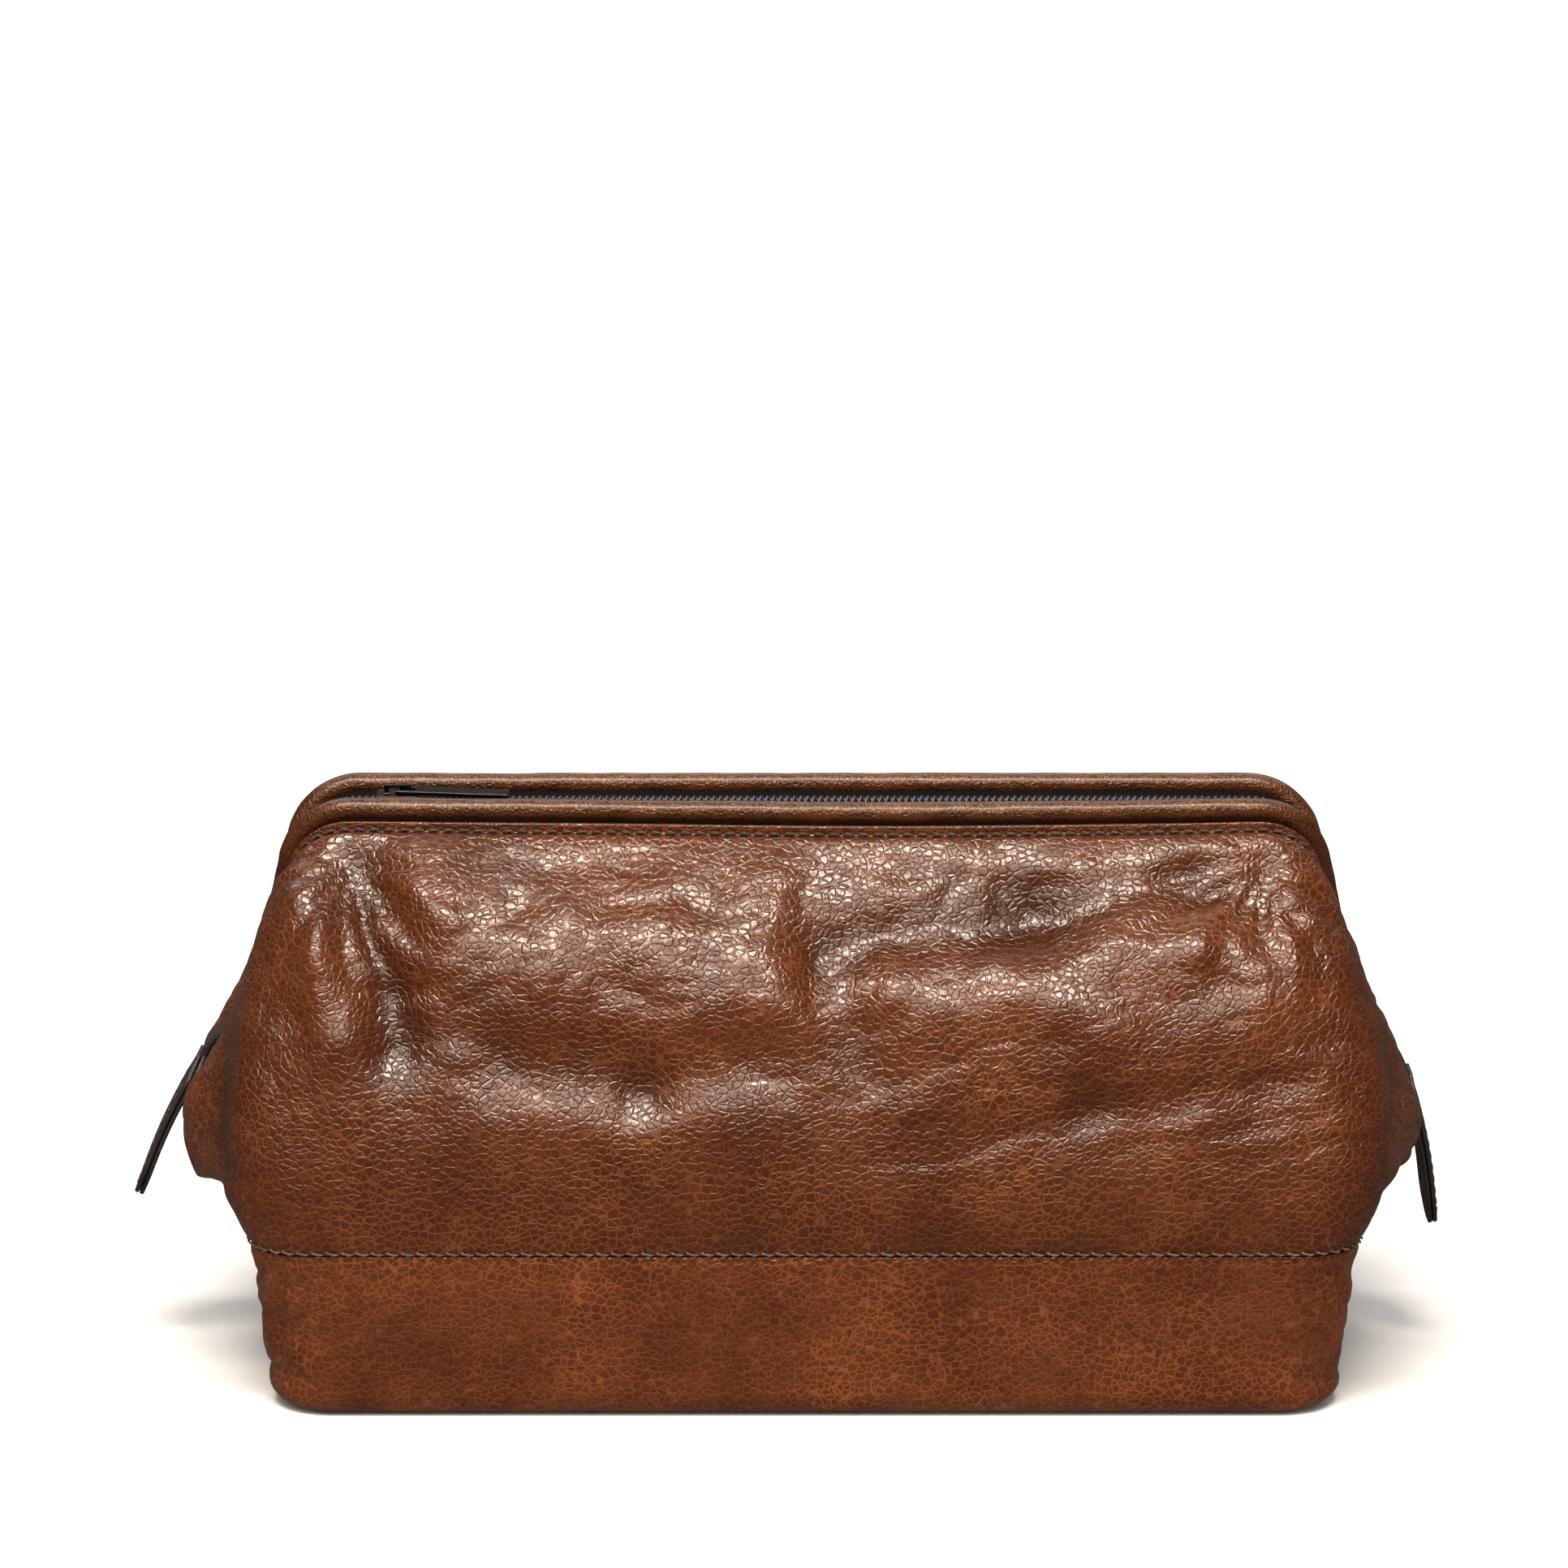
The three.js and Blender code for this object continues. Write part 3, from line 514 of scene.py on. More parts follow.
def panel_controls(side, s):
    """The four Bezier points of one upright line of a panel, from the seam to the frame."""
    x, y = outline_point(s, SEAM_HALF_LENGTH, SEAM_HALF_DEPTH, CORNER_RADIUS)
    from_end = min(s, 1 - s) / END_SHARE
    towards_front = float(smoothstep(from_end, 0.8, 1.9))
    out_x = math.copysign(1.0, s - 0.5) * (1 - float(smoothstep(from_end, 0.9, 2.6)))
    seam = np.array((x, -side * (y - 0.2 * MM), SEAM_Z))
    at_frame = float(smoothstep(from_end, 0, 0.75))
    over_casing = CASING_RADIUS + LEATHER + 0.2 * MM
    top = beside_frame(side, s, lerp(-7 * MM, 1 * MM, at_frame), lerp(2.4 * MM, over_casing, at_frame))
    fold = 1 - 0.35 * (1 - float(smoothstep(from_end, 0, 0.5)))
    rise = top[2] - SEAM_Z
    lower = np.array((
        seam[0] + out_x * 17 * MM * fold,
        seam[1] + side * 3.5 * MM * towards_front,
        SEAM_Z + rise * lerp(0.36, 0.29, towards_front),
    ))
    upper = np.array((
        top[0] + out_x * lerp(4, 15, at_frame) * MM * fold,
        top[1] + side * lerp(lerp(1, 12, at_frame), 21, towards_front) * MM,
        top[2] - rise * lerp(0.33, 0.18, towards_front),
    ))
    return np.array((seam, lower, upper, top))


def bezier(controls, t):
    u = 1 - t
    return (
        u**3 * controls[0]
        + 3 * u * u * t * controls[1]
        + 3 * u * t * t * controls[2]
        + t**3 * controls[3]
    )


def grid_normals(grid, side):
    """Unit normals of a grid of points, facing out of the bag."""
    along = np.gradient(grid, axis=1)
    up = np.gradient(grid, axis=0)
    normals = np.cross(up, along) * side
    normals /= np.maximum(np.linalg.norm(normals, axis=2, keepdims=True), 1e-12)
    return normals


# ==== Folds of the panels, in millimetres: a soft ridge (+) or valley (-) along a line of x, z points ====
FRONT_FOLDS = [
    # x0, z0, x1, z1, width, height
    (-95, 114, -86, 80, 7.5, -3.4),
    (-106, 104, -98, 80, 7, 2.2),
    (-80, 108, -58, 88, 12, 2.2),
    (-50, 98, -6, 88, 13, 2.6),
    (-62, 76, -34, 70, 8, -1.9),
    (-34, 70, -8, 76, 7, -1.8),
    (6, 92, 13, 72, 6.5, -1.3),
    (2, 97, 48, 103, 7.5, -2.6),
    (48, 103, 84, 108, 6.5, -2.0),
    (18, 90, 62, 84, 9, 2.4),
    (70, 100, 96, 92, 8, 1.5),
    (16, 58, 60, 66, 5, -0.8),
    (60, 66, 100, 72, 5, -0.9),
    (22, 66, 96, 82, 9, 0.9),
    (98, 112, 92, 92, 5, -1.8),
    (-66, 62, -20, 66, 9, 1.2),
]
REAR_FOLDS = [
    (90, 112, 80, 84, 8, -3.0),
    (40, 100, -12, 92, 12, 2.4),
    (-20, 98, -78, 108, 7, -2.4),
    (-30, 84, -70, 80, 9, 1.8),
    (-60, 60, 20, 66, 6, -1.3),
    (-98, 110, -90, 88, 6, -1.8),
]


def fold_height(folds, x, z):
    """Summed height in millimetres of all the folds at x, z (arrays in millimetres)."""
    total = np.zeros_like(x)
    for x0, z0, x1, z1, width, height in folds:
        dx, dz = x1 - x0, z1 - z0
        along = np.clip(((x - x0) * dx + (z - z0) * dz) / (dx * dx + dz * dz), 0, 1)
        gap = (x - x0 - along * dx) ** 2 + (z - z0 - along * dz) ** 2
        total += height * np.exp(-gap / width**2)
    return total


def crumple(points, scale, seed):
    """Smooth noise between -1 and 1 at each point; scale is the wave length in metres."""
    shift = Vector((seed * 17.3, seed * 5.1, seed * 9.7))
    flat = points.reshape(-1, 3) / scale
    values = [noise.noise(Vector(p) + shift) for p in flat]
    return np.array(values).reshape(points.shape[:2])


def wrinkles(points, scale, seed):
    """Sharp-bottomed creases: noise folded at zero, between 0 and 1."""
    return 1 - np.minimum(np.abs(crumple(points, scale, seed)) * 3.2, 1)


# ==== Leather panels and their linings ====
def lengths_along(line):
    """How far along a line of points each of them lies."""
    return np.concatenate([[0], np.cumsum(np.linalg.norm(np.diff(line, axis=0), axis=1))])


def stations(count, dense):
    """Shares from 0 to 1, closer together round places given as centre, width and weight."""
    fine = np.linspace(0, 1, 4000)
    density = np.ones_like(fine)
    for centre, width, weight in dense:
        density += weight * np.exp(-(((fine - centre) / width) ** 2))
    total = np.concatenate([[0], np.cumsum((density[1:] + density[:-1]) / 2)])
    return np.interp(np.linspace(0, total[-1], count), total, fine)


PANEL_S = stations(440, [(0.0, 0.09, 1.0), (0.17, 0.05, 1.6), (0.83, 0.05, 1.6), (1.0, 0.09, 1.0)])
PANEL_T = stations(170, [(1.0, 0.05, 4.0), (0.0, 0.05, 3.0)])
FROM_END = np.minimum(PANEL_S, 1 - PANEL_S)[None, :] / END_SHARE
FRAME_SAG = 0.9 * MM
SAG_CENTRE = 18 * MM
SAG_WIDTH = 62 * MM
FOLD_DEPTH = 1.08  # how much deeper the folds are than listed
LINING_DEPTH = LEATHER + 0.7 * MM
LINING_END = 0.996  # share of the panel's height where the lining turns under the roll
LINING_CLOTH = 0.5 * MM


def roll_sag(x):
    """The front roll hangs a little towards its middle and stands proud at its corners."""
    return -FRAME_SAG * math.exp(-(((x - SAG_CENTRE) / SAG_WIDTH) ** 2))


def panel_grid(side):
    """The panel's outer surface before its folds: rows from the seam up, columns round the bag."""
    controls = [panel_controls(side, s) for s in PANEL_S]
    return np.array([[bezier(c, t) for c in controls] for t in PANEL_T])


def hump(value, centre, width):
    return np.exp(-(((value - centre) / width) ** 2))


def panel_relief(side, base):
    """How far each point of a panel stands out from its plain curve, in millimetres."""
    x, z = base[..., 0] / MM, base[..., 2] / MM
    t = PANEL_T[:, None]
    free = smoothstep(t, 0.0, 0.14) * (1 - smoothstep(t, 0.84, 0.985))
    folds = FRONT_FOLDS if side == FRONT else REAR_FOLDS
    height = FOLD_DEPTH * fold_height(folds, x, z) * free * smoothstep(FROM_END, 0.7, 1.5)

    # gathers that run out from the frame's corners
    for end in (-1, 1):
        dx, dz = x - end * 98, z - 113
        angle = np.arctan2(dz, -end * dx)
        rays = np.sin(angle * 13 + crumple(base, 16 * MM, 3) * 3.5)
        height += 0.5 * rays * hump(np.hypot(dx, dz), 17, 11) * free

    from_top = np.linalg.norm(base - base[-1][None, :, :], axis=2) / MM
    puffed = hump(FROM_END, 1.6, 0.42) * hump(from_top, 8, 7)

    # loose hide: broad swells, then creases, more of them in the upper half
    slack = smoothstep(z, 44, 92) * free * (1 - 0.75 * puffed)
    height += 1.25 * crumple(base, 34 * MM, 1) * (0.25 + slack) * free
    height += 0.7 * crumple(base, 15 * MM, 2) * (0.2 + slack) * free
    height += 0.3 * crumple(base, 7.5 * MM, 5) * slack
    height -= 0.38 * wrinkles(base, 13 * MM, 4 + side) * slack
    height -= 0.22 * wrinkles(base, 6.5 * MM, 7 + side) * slack
    slanted = base @ np.array(((0.35, 0, -0.12), (0, 1, 0), (0.2, 0, 1.3)))
    towards_right = smoothstep(x * -side, -10, 30)
    height -= 0.45 * wrinkles(slanted, 9 * MM, 17 + side) * hump(z, 64, 12) * free * towards_right

    # the ends: one bellows fold above the seam, then many small creases
    at_end = 1 - smoothstep(FROM_END, 0.75, 1.25)
    left = PANEL_S[None, :] < 0.5
    underside = np.where(left, smoothstep(t, 0.14, 0.22), smoothstep(t, 0.0, 0.34))
    pouch = underside * (1 - smoothstep(t, 0.42, 0.8))
    height += np.where(left, 5.9, 4.3) * pouch * hump(FROM_END, 0.52, 0.42) * at_end
    height -= np.where(left, 2.4, 1.2) * pouch * hump(FROM_END, 1.1, 0.17)
    small_creases = wrinkles(base * np.array((1, 1, 1.6)), 11 * MM, 11)
    height -= np.where(left, 0.55, 0.75) * small_creases * at_end * free
    near_corner = hump(FROM_END, 1.1, 0.4) * (1 - smoothstep(t, 0.3, 0.5)) * free
    height -= 0.4 * wrinkles(base, 8 * MM, 13) * near_corner

    # under the frame: a turned welt, then the groove of its stitches, and puffed-out corners
    on_top = smoothstep(FROM_END, 0.9, 1.3)
    height += on_top * (0.75 * hump(from_top, 0.9, 0.75) - 0.6 * hump(from_top, 2.4, 0.75))
    height += (1 - on_top) * smoothstep(FROM_END, 0.1, 0.3) * 0.6 * hump(from_top, 0.9, 0.7)
    height += 0.9 * puffed
    # the panel is drawn in at the seam
    return height - 0.2 * hump(z, SEAM_Z / MM, 1.5)


def rounded_edge(distance, radius):
    """Share of the full thickness at a distance from a turned edge."""
    inside = np.clip(1 - distance / radius, 0, 1)
    return np.sqrt(np.maximum(1 - inside**2, 0.02))


def keep_side(grid, side):
    """The columns at the ends stay on their own side of the bag's middle plane."""
    near = np.abs(FROM_END[0]) < 0.12
    grid[:, near, 1] = side * np.maximum(side * grid[:, near, 1], 0.12 * MM)


def shaped_panel(side):
    """Outer and inner faces of a leather panel, the faces of its lining, and its relief in mm."""
    base = panel_grid(side)
    lowering = np.zeros(len(PANEL_S))
    if side == FRONT:
        lowering = np.array([roll_sag(x) for x in base[-1, :, 0]]) * smoothstep(FROM_END[0], 1.3, 2.0)
    base[..., 2] += smoothstep(PANEL_T, 0.5, 1.0)[:, None] * lowering[None, :]
    normals = grid_normals(base, side)
    height = panel_relief(side, base) * MM
    outer = base + normals * height[..., None]
    out = grid_normals(outer, side)
    edge = np.minimum(
        np.linalg.norm(outer - outer[-1][None], axis=2),
        np.linalg.norm(outer - outer[0][None], axis=2),
    )
    half = LEATHER / 2 * rounded_edge(edge, LEATHER / 2)[..., None]
    middle = outer - out * LEATHER / 2
    faces = [middle + out * half, middle - out * half]

    # the lining keeps clear of the deepest fold near each of its points
    deepest = height.copy()
    for shift in (-6, -3, 3, 6):
        for axis in (0, 1):
            deepest = np.minimum(deepest, np.roll(height, shift, axis=axis))
    for _ in range(3):
        deepest = sum(np.roll(deepest, k, axis=a) for k in (-1, 0, 1) for a in (0, 1)) / 6
    rows = (PANEL_T > 0.012) & (PANEL_T < LINING_END)
    lining = base + normals * (np.minimum(deepest, 0) - LINING_DEPTH)[..., None]
    lining_back = lining - normals * LINING_CLOTH
    for sheet, inwards, beyond in ((lining, 1.5, 1.5), (lining_back, 1.9, 1.1)):
        under_roll = np.array([beside_frame(side, s, inwards * MM, beyond * MM) for s in PANEL_S])
        under_roll[:, 2] += lowering
        last = sheet[rows][-1]
        has_roll = 0.05 + 0.95 * smoothstep(FROM_END[0], 0.2, 0.38)
        tucked = lerp(last, under_roll, has_roll[:, None])
        faces.append(np.concatenate([sheet[rows], [lerp(last, tucked, 0.5), tucked]]))
    for grid in faces:
        keep_side(grid, side)
    return faces, rows, height / MM


def bend_with_frame(piece):
    """Bakes the piece's placement into its mesh points."""
    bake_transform(piece)


panels = {}
for side, half in HALF_NAME.items():
    (outer, inner, lining, lining_back), rows, relief = shaped_panel(side)
    panels[side] = outer
    backwards = side == REAR

    sheet = shell(outer, inner, backwards)
    leather = new_object(f"{half}_leather_panel", *sheet, BODY, "body_leather")
    # the folds' relief, kept on the panel for the painted shade in its hollows
    fold_relief_for_shade = np.clip(relief[:, ::-1] if backwards else relief, -4, 2).ravel()
    hollows = leather.data.attributes.new("fold_relief_for_shade", "FLOAT", "POINT")
    hollows.data.foreach_set("value", np.concatenate([fold_relief_for_shade, fold_relief_for_shade]).astype(np.float32))
    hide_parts(f"{half}_panel_lower", f"{half}_panel_upper")
    bend_with_frame(leather)

    cloth = new_object(f"{half}_lining", *shell(lining, lining_back, backwards), LINING, "lining")
    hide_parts(f"{half}_lining_upper")
    bend_with_frame(cloth)


# ==== Base tray and its lining ====
RING_STATIONS = stations(300, [(0.17, 0.05, 2.0), (0.83, 0.05, 2.0)])


def tray_ring(z, inset):
    rise = min(max(z / SEAM_Z, 0), 1)
    edge = max(BASE_EDGE - z, 0)
    rounding = BASE_EDGE - math.sqrt(max(BASE_EDGE**2 - edge**2, 0))
    half_length = lerp(BASE_HALF_LENGTH, SEAM_HALF_LENGTH, math.sqrt(rise)) - rounding - inset
    half_depth = lerp(BASE_HALF_DEPTH, SEAM_HALF_DEPTH, math.sqrt(rise)) - rounding - inset
    radius = max(CORNER_RADIUS - rounding - inset, 2 * MM)
    front = [outline_point(s, half_length, half_depth, radius) for s in RING_STATIONS]
    rear = [(x, -y) for x, y in reversed(front[1:-1])]
    return np.array([(x, y, z) for x, y in front + rear])


def outwards(rings):
    """Level unit vectors from the middle of each ring."""
    normals = rings - rings.mean(axis=1, keepdims=True)
    normals[..., 2] = 0
    return normals / np.linalg.norm(normals, axis=2, keepdims=True)


def cup(grid):
    """Points and faces of a cup: rings up the outside and down the inside, with a middle each."""
    columns = grid.shape[1]
    last = (len(grid) - 1) * columns
    points = list(grid.reshape(-1, 3)) + [(0, 0, grid[0, 0, 2]), (0, 0, grid[-1, 0, 2])]
    low, high = len(points) - 2, len(points) - 1
    faces = grid_faces(len(grid), columns, closed=True)
    for c in range(columns):
        after = (c + 1) % columns
        faces.append((low, after, c))
        faces.append((high, last + c, last + after))
    return points, faces


def tray_faces():
    bend = [BASE_EDGE * (1 - math.cos(a)) for a in np.linspace(0, math.pi / 2, 9)]
    wall = list(np.linspace(bend[-1], SEAM_Z - 0.9 * MM, 44))[1:]
    brim = list(np.linspace(wall[-1], SEAM_Z + 0.05 * MM, 6))[1:]
    rings = np.array([tray_ring(z, 0) for z in bend + wall + brim])
    normals = outwards(rings)
    z = rings[..., 2] / MM
    x, y = np.abs(rings[..., 0]) / MM, np.abs(rings[..., 1]) / MM
    free = smoothstep(z, 2.5, 9) * (1 - smoothstep(z, 30, 35))
    corner = hump(x, 113, 10) * hump(y, 54, 13)
    height = free * (0.55 * crumple(rings, 30 * MM, 21) + 0.25 * crumple(rings, 12 * MM, 24))
    height -= free * corner * 1.2 * wrinkles(rings, 8 * MM, 22)
    height -= 0.9 * hump(z, 8, 3) * corner
    height -= free * 0.45 * wrinkles(rings, 7 * MM, 23) * smoothstep(x, 98, 114)
    height += 0.3 * hump(z, 33.4, 1.3)
    height -= 0.5 * (1 - np.sqrt(np.clip(1 - np.clip((z - 34.4) / 1.15, 0, 1) ** 2, 0, 1)))
    outer = rings + normals * (height * MM)[..., None]
    floor_row = next(row for row, z in enumerate(bend) if z > LEATHER)
    inner = (outer - normals * LEATHER)[floor_row:-3][::-1]
    return cup(np.concatenate([outer, inner]))


def tray_lining_faces():
    floor_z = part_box("base_board")[1].z + 0.3 * MM
    levels = np.linspace(floor_z, SEAM_Z + 2.4 * MM, 32)
    inset = LEATHER + 1.2 * MM
    outer = np.array([tray_ring(z, inset) for z in levels])
    inner = np.array([tray_ring(z, inset + LINING_CLOTH) for z in levels])
    inner[0, :, 2] += LINING_CLOTH
    swell = (0.25 * crumple(outer, 24 * MM, 31) * MM)[..., None]
    return cup(np.concatenate([outer + outwards(outer) * swell, (inner + outwards(inner) * swell)[::-1]]))


tray = new_object("base_leather", *tray_faces(), BASE, "body_leather")
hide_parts("base_tray")
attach(tray, "bag")
tray_lining = new_object("tray_lining", *tray_lining_faces(), LINING, "lining")
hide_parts("lining_lower")
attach(tray_lining, "bag")


# ==== Stitching ====
ABOVE_SEAM = 0.9 * MM
BELOW_TOP = 2.2 * MM


def unit(vector):
    return vector / max(np.linalg.norm(vector), 1e-12)


def stitch(batch, centre, along, normal, length, radius):
    """One stitch of two twisted plies that rises out of one hole and dips into the next."""
    along = unit(along)
    normal = unit(normal - along * np.dot(normal, along))
    across = np.cross(along, normal)
    along = unit(along + 0.22 * across)
    steps = np.linspace(-1, 1, 11)
    for ply in (0, 1):
        path = []
        for step in steps:
            turn = math.pi * ply + step * 2.6
            lift = radius * (1.5 - 2.4 * abs(step) ** 3)
            twist = 0.42 * radius * (math.cos(turn) * across + math.sin(turn) * normal)
            path.append(centre + along * step * length / 2 + normal * lift + twist)
        batch.add(*tube(path, radius * 0.62, 6))


def stitch_row(name, line, normals, material, body, radius):
    """Stitches at an even pitch along a line of points that lie on a surface."""
    length = lengths_along(line)
    count = int(length[-1] / STITCH_PITCH)
    places = (np.arange(count) + 0.5) * length[-1] / count
    batch = Batch()
    for place in places:
        before, here, after = (
            np.array([np.interp(place + d, length, line[:, k]) for k in range(3)])
            for d in (-STITCH_PITCH / 3, 0, STITCH_PITCH / 3)
        )
        normal = np.array([np.interp(place, length, normals[:, k]) for k in range(3)])
        stitch(batch, here, after - before, normal, STITCH_PITCH * 0.84, radius)
    row = new_object(name, batch.points, batch.faces, material, "body_leather")
    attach(row, body)


def line_on_panel(side, distance, from_top=False):
    """A line along a panel at a distance from its seam, or from its top edge."""
    grid = panels[side]
    out = grid_normals(grid, side)
    if from_top:
        grid, out = grid[::-1], out[::-1]
    rows = np.argmax(np.linalg.norm(grid - grid[0][None], axis=2) > distance, axis=0)
    picked = np.arange(grid.shape[1])
    return grid[rows, picked], out[rows, picked]


for side, half in HALF_NAME.items():
    line, out = line_on_panel(side, ABOVE_SEAM)
    stitch_row(f"{half}_seam_stitches", line, out, SEAM_THREAD, "bag", 0.28 * MM)
    line, out = line_on_panel(side, BELOW_TOP, from_top=True)
    sewn = (PANEL_S > 0.12) & (PANEL_S < 0.88)
    top_name = f"{half}_top_stitches"
    stitch_row(top_name, line[sewn], out[sewn], TOP_THREAD_SHADED, f"{half}_half", 0.42 * MM)


# ==== Leather rolls over the frame ====
def leg_share(height):
    return LEG_SHARE * height / (FRAME_HEIGHT - BEND * math.sin(LEG_ANGLE))


ROLL_START = 14 * MM
ROLL_STEPS = 620
ROLL_SIDES = 28


def frame_roll(side):
    """A sleeve of hide round one frame half: pinched at its ends and finely wrinkled."""
    first = leg_share(ROLL_START)
    shares = np.linspace(first, 1 - first, ROLL_STEPS)
    path = np.array([beside_frame(side, w) for w in shares])
    if side == FRONT:
        on_top = smoothstep(np.minimum(shares, 1 - shares), 0.2, 0.3)
        path[:, 2] += np.array([roll_sag(x) for x in path[:, 0]]) * on_top
    along = np.linspace(0, 1, ROLL_STEPS)
    pinch = smoothstep(np.minimum(along, 1 - along), 0, 0.012)
    points, faces = tube(path, CASING_RADIUS * (0.72 + 0.28 * pinch), ROLL_SIDES)
    points = np.array(points)
    out = points - np.repeat(path, ROLL_SIDES, axis=0)
    out /= np.linalg.norm(out, axis=1, keepdims=True)
    grid = points[None, :, :]
    relief = 0.13 * crumple(grid, 9 * MM, 41) + 0.09 * crumple(grid * np.array((0.4, 1, 1)), 2.6 * MM, 42)
    return points + out * (relief[0] * MM)[:, None], faces


for side, half in HALF_NAME.items():
    roll = new_object(f"{half}_frame_roll", *frame_roll(side), CASING, "body_leather")
    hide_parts(f"{half}_casing")
    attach(roll, f"{half}_half")


# ==== Zip ====
COIL_RADIUS = 0.98 * MM
COIL_WIRE = 0.29 * MM
COIL_STEPS = 12
COIL_OFFSET = 1.02 * MM
COIL_REACH = 0.98
COIL_FLATNESS = 0.86


def zip_coil(side):
    """One row of the zip: a helix of nylon wire whose turns reach into the other row's gaps."""
    first = leg_share(ZIP_START)
    shares = np.linspace(first, 1 - first, 900)
    middle = np.array([beside_frame(side, w, ZIP_DROP) * np.array((1, 0, 1)) for w in shares])
    length = lengths_along(middle)
    turns = int(length[-1] / COIL_PITCH)
    offset = 0.25 if side == FRONT else 0.75
    path = []
    for step in range(turns * COIL_STEPS):
        turn = step / COIL_STEPS
        place = (turn + offset) * length[-1] / (turns + 1)
        x, z = (np.interp(place, length, middle[:, k]) for k in (0, 2))
        dx = np.interp(place + 0.5 * MM, length, middle[:, 0]) - x
        dz = np.interp(place + 0.5 * MM, length, middle[:, 2]) - z
        out = unit(np.array((-dz, 0, dx)))
        angle = 2 * math.pi * turn
        across = side * (COIL_OFFSET - COIL_RADIUS * COIL_REACH * math.cos(angle))
        rise = out * COIL_RADIUS * COIL_FLATNESS * math.sin(angle)
        path.append(np.array((x, across, z)) + rise)
    return tube(path, COIL_WIRE, 6)


for side, half in HALF_NAME.items():
    coil = new_object(f"{half}_coil_wire", *zip_coil(side), NYLON, "zip_nylon")
    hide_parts(f"{half}_zip_coil")
    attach(coil, f"{half}_half")


TAPE_INNER = 2.3 * MM  # from the bag's middle plane to the beaded edge
TAPE_SHORT_OF_FRAME = 2.4 * MM
TAPE_LEAST_WIDTH = 0.4 * MM
TAPE_THICKNESS = 0.5 * MM


def tape_sheet(side):
    """Half of the zip's cloth: a beaded edge at its coil, then a slack strip that runs to the roll."""
    first = leg_share(ZIP_START)
    places = [beside_frame(side, w, ZIP_DROP) for w in np.linspace(first, 1 - first, 520)]
    across = np.linspace(0, 1, 22)
    u = across[:, None]
    arch = np.sin(math.pi * u)
    faces = []
    for face in (1, -1):
        rows = []
        for share in across:
            row = []
            for x, y, z in places:
                outer = max(abs(y) - TAPE_SHORT_OF_FRAME, TAPE_INNER + TAPE_LEAST_WIDTH)
                row.append((x, side * lerp(TAPE_INNER, outer, share), z))
            rows.append(row)
        grid = np.array(rows)
        slack = np.abs(grid[-1, :, 1] - grid[0, :, 1])[None, :] / (10 * MM)
        sag = -0.9 * arch * slack + 0.35 * crumple(grid, 11 * MM, 51) * arch * slack
        sag = sag + 0.22 * hump(u, 0.06, 0.06) - 0.2 * hump(u, 0.3, 0.05)
        grid[..., 2] += sag * MM + face * TAPE_THICKNESS / 2
        faces.append(grid)
    return shell(*faces, side == FRONT)


for side, half in HALF_NAME.items():
    tape = new_object(f"{half}_tape_cloth", *tape_sheet(side), TAPE_CLOTH_AND_SHADE, "zip_cloth")
    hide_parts(f"{half}_zip_tape")
    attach(tape, f"{half}_half")


# ==== Slip pocket ====
def pocket_sheet():
    """A cloth pocket on the rear wall: it bellies out, gapes at its hemmed top and is sewn round."""
    low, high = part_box("slip_pocket")
    across = stations(120, [(0.0, 0.03, 4.0), (1.0, 0.03, 4.0)])
    up = stations(60, [(0.0, 0.03, 4.0), (1.0, 0.08, 5.0)])
    x, z = np.meshgrid(lerp(low.x, high.x, across), lerp(low.z, high.z - 0.4 * MM, up))
    sides = np.clip(np.minimum(across, 1 - across) / 0.06, 0, 1)[None, :]
    foot = np.clip(up / 0.12, 0, 1)[:, None]
    belly = np.sqrt(sides) * np.sqrt(foot) * (high.y - low.y - 1.2 * MM)
    belly = belly * (0.72 + 0.28 * up[:, None] ** 2 * np.sin(math.pi * across)[None, :])
    front = np.stack([x, high.y - 0.6 * MM - belly, z], axis=-1)
    ripple = 0.35 * crumple(front, 14 * MM, 61) * sides * foot
    below_top = (1 - up[:, None]) * (high.z - low.z) / MM
    hem = 0.3 * hump(below_top, 1.6, 1.3) - 0.15 * hump(below_top, 4.0, 0.6)
    front[..., 1] -= (ripple + hem) * MM
    return shell(front, front + np.array((0, LINING_CLOTH, 0)))


pocket = new_object("pocket_cloth", *pocket_sheet(), LINING, "lining")
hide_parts("slip_pocket")
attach(pocket, "bag")


def bevelled(node, name, body, width):
    """A copy of a CAD piece with softened edges."""
    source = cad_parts[node].data
    points = [tuple(v.co) for v in source.vertices]
    faces = [tuple(p.vertices) for p in source.polygons]
    piece = new_object(name, points, faces, GUNMETAL, "gunmetal", smooth=False)
    weld = piece.modifiers.new("weld", "WELD")
    weld.merge_threshold = 0.01 * MM
    bevel = piece.modifiers.new("bevel", "BEVEL")
    bevel.width = width
    bevel.segments = 3
    bevel.limit_method = "ANGLE"
    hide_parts(node)
    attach(piece, body)


bevelled("zip_slider", "slider_body", "slider", 0.22 * MM)
bevelled("zip_puller", "puller_bar", "puller", 0.25 * MM)


# ==== Tabs and their straps ====
TAB_LENGTH = 35 * MM
TAB_HALF_WIDTH = 9 * MM
TAB_NECK = 6 * MM
TAB_NECK_HALF = 4.5 * MM
TAB_PLY = 0.95 * MM
TAB_STITCH_INSET = 2.1 * MM
TAB_STITCH_PITCH = 2.6 * MM
TAB_STITCH_LENGTH = 2.1 * MM
TAB_STITCH_RADIUS = 0.17 * MM
TAB_STITCH_SINK = 0.12 * MM
TAB_HANGS = {
    "left": (-1, np.array((-131.2, 0, 65.0)) * MM, math.radians(25)),
    "right": (1, np.array((131.6, 0, 61.0)) * MM, math.radians(10.5)),
}


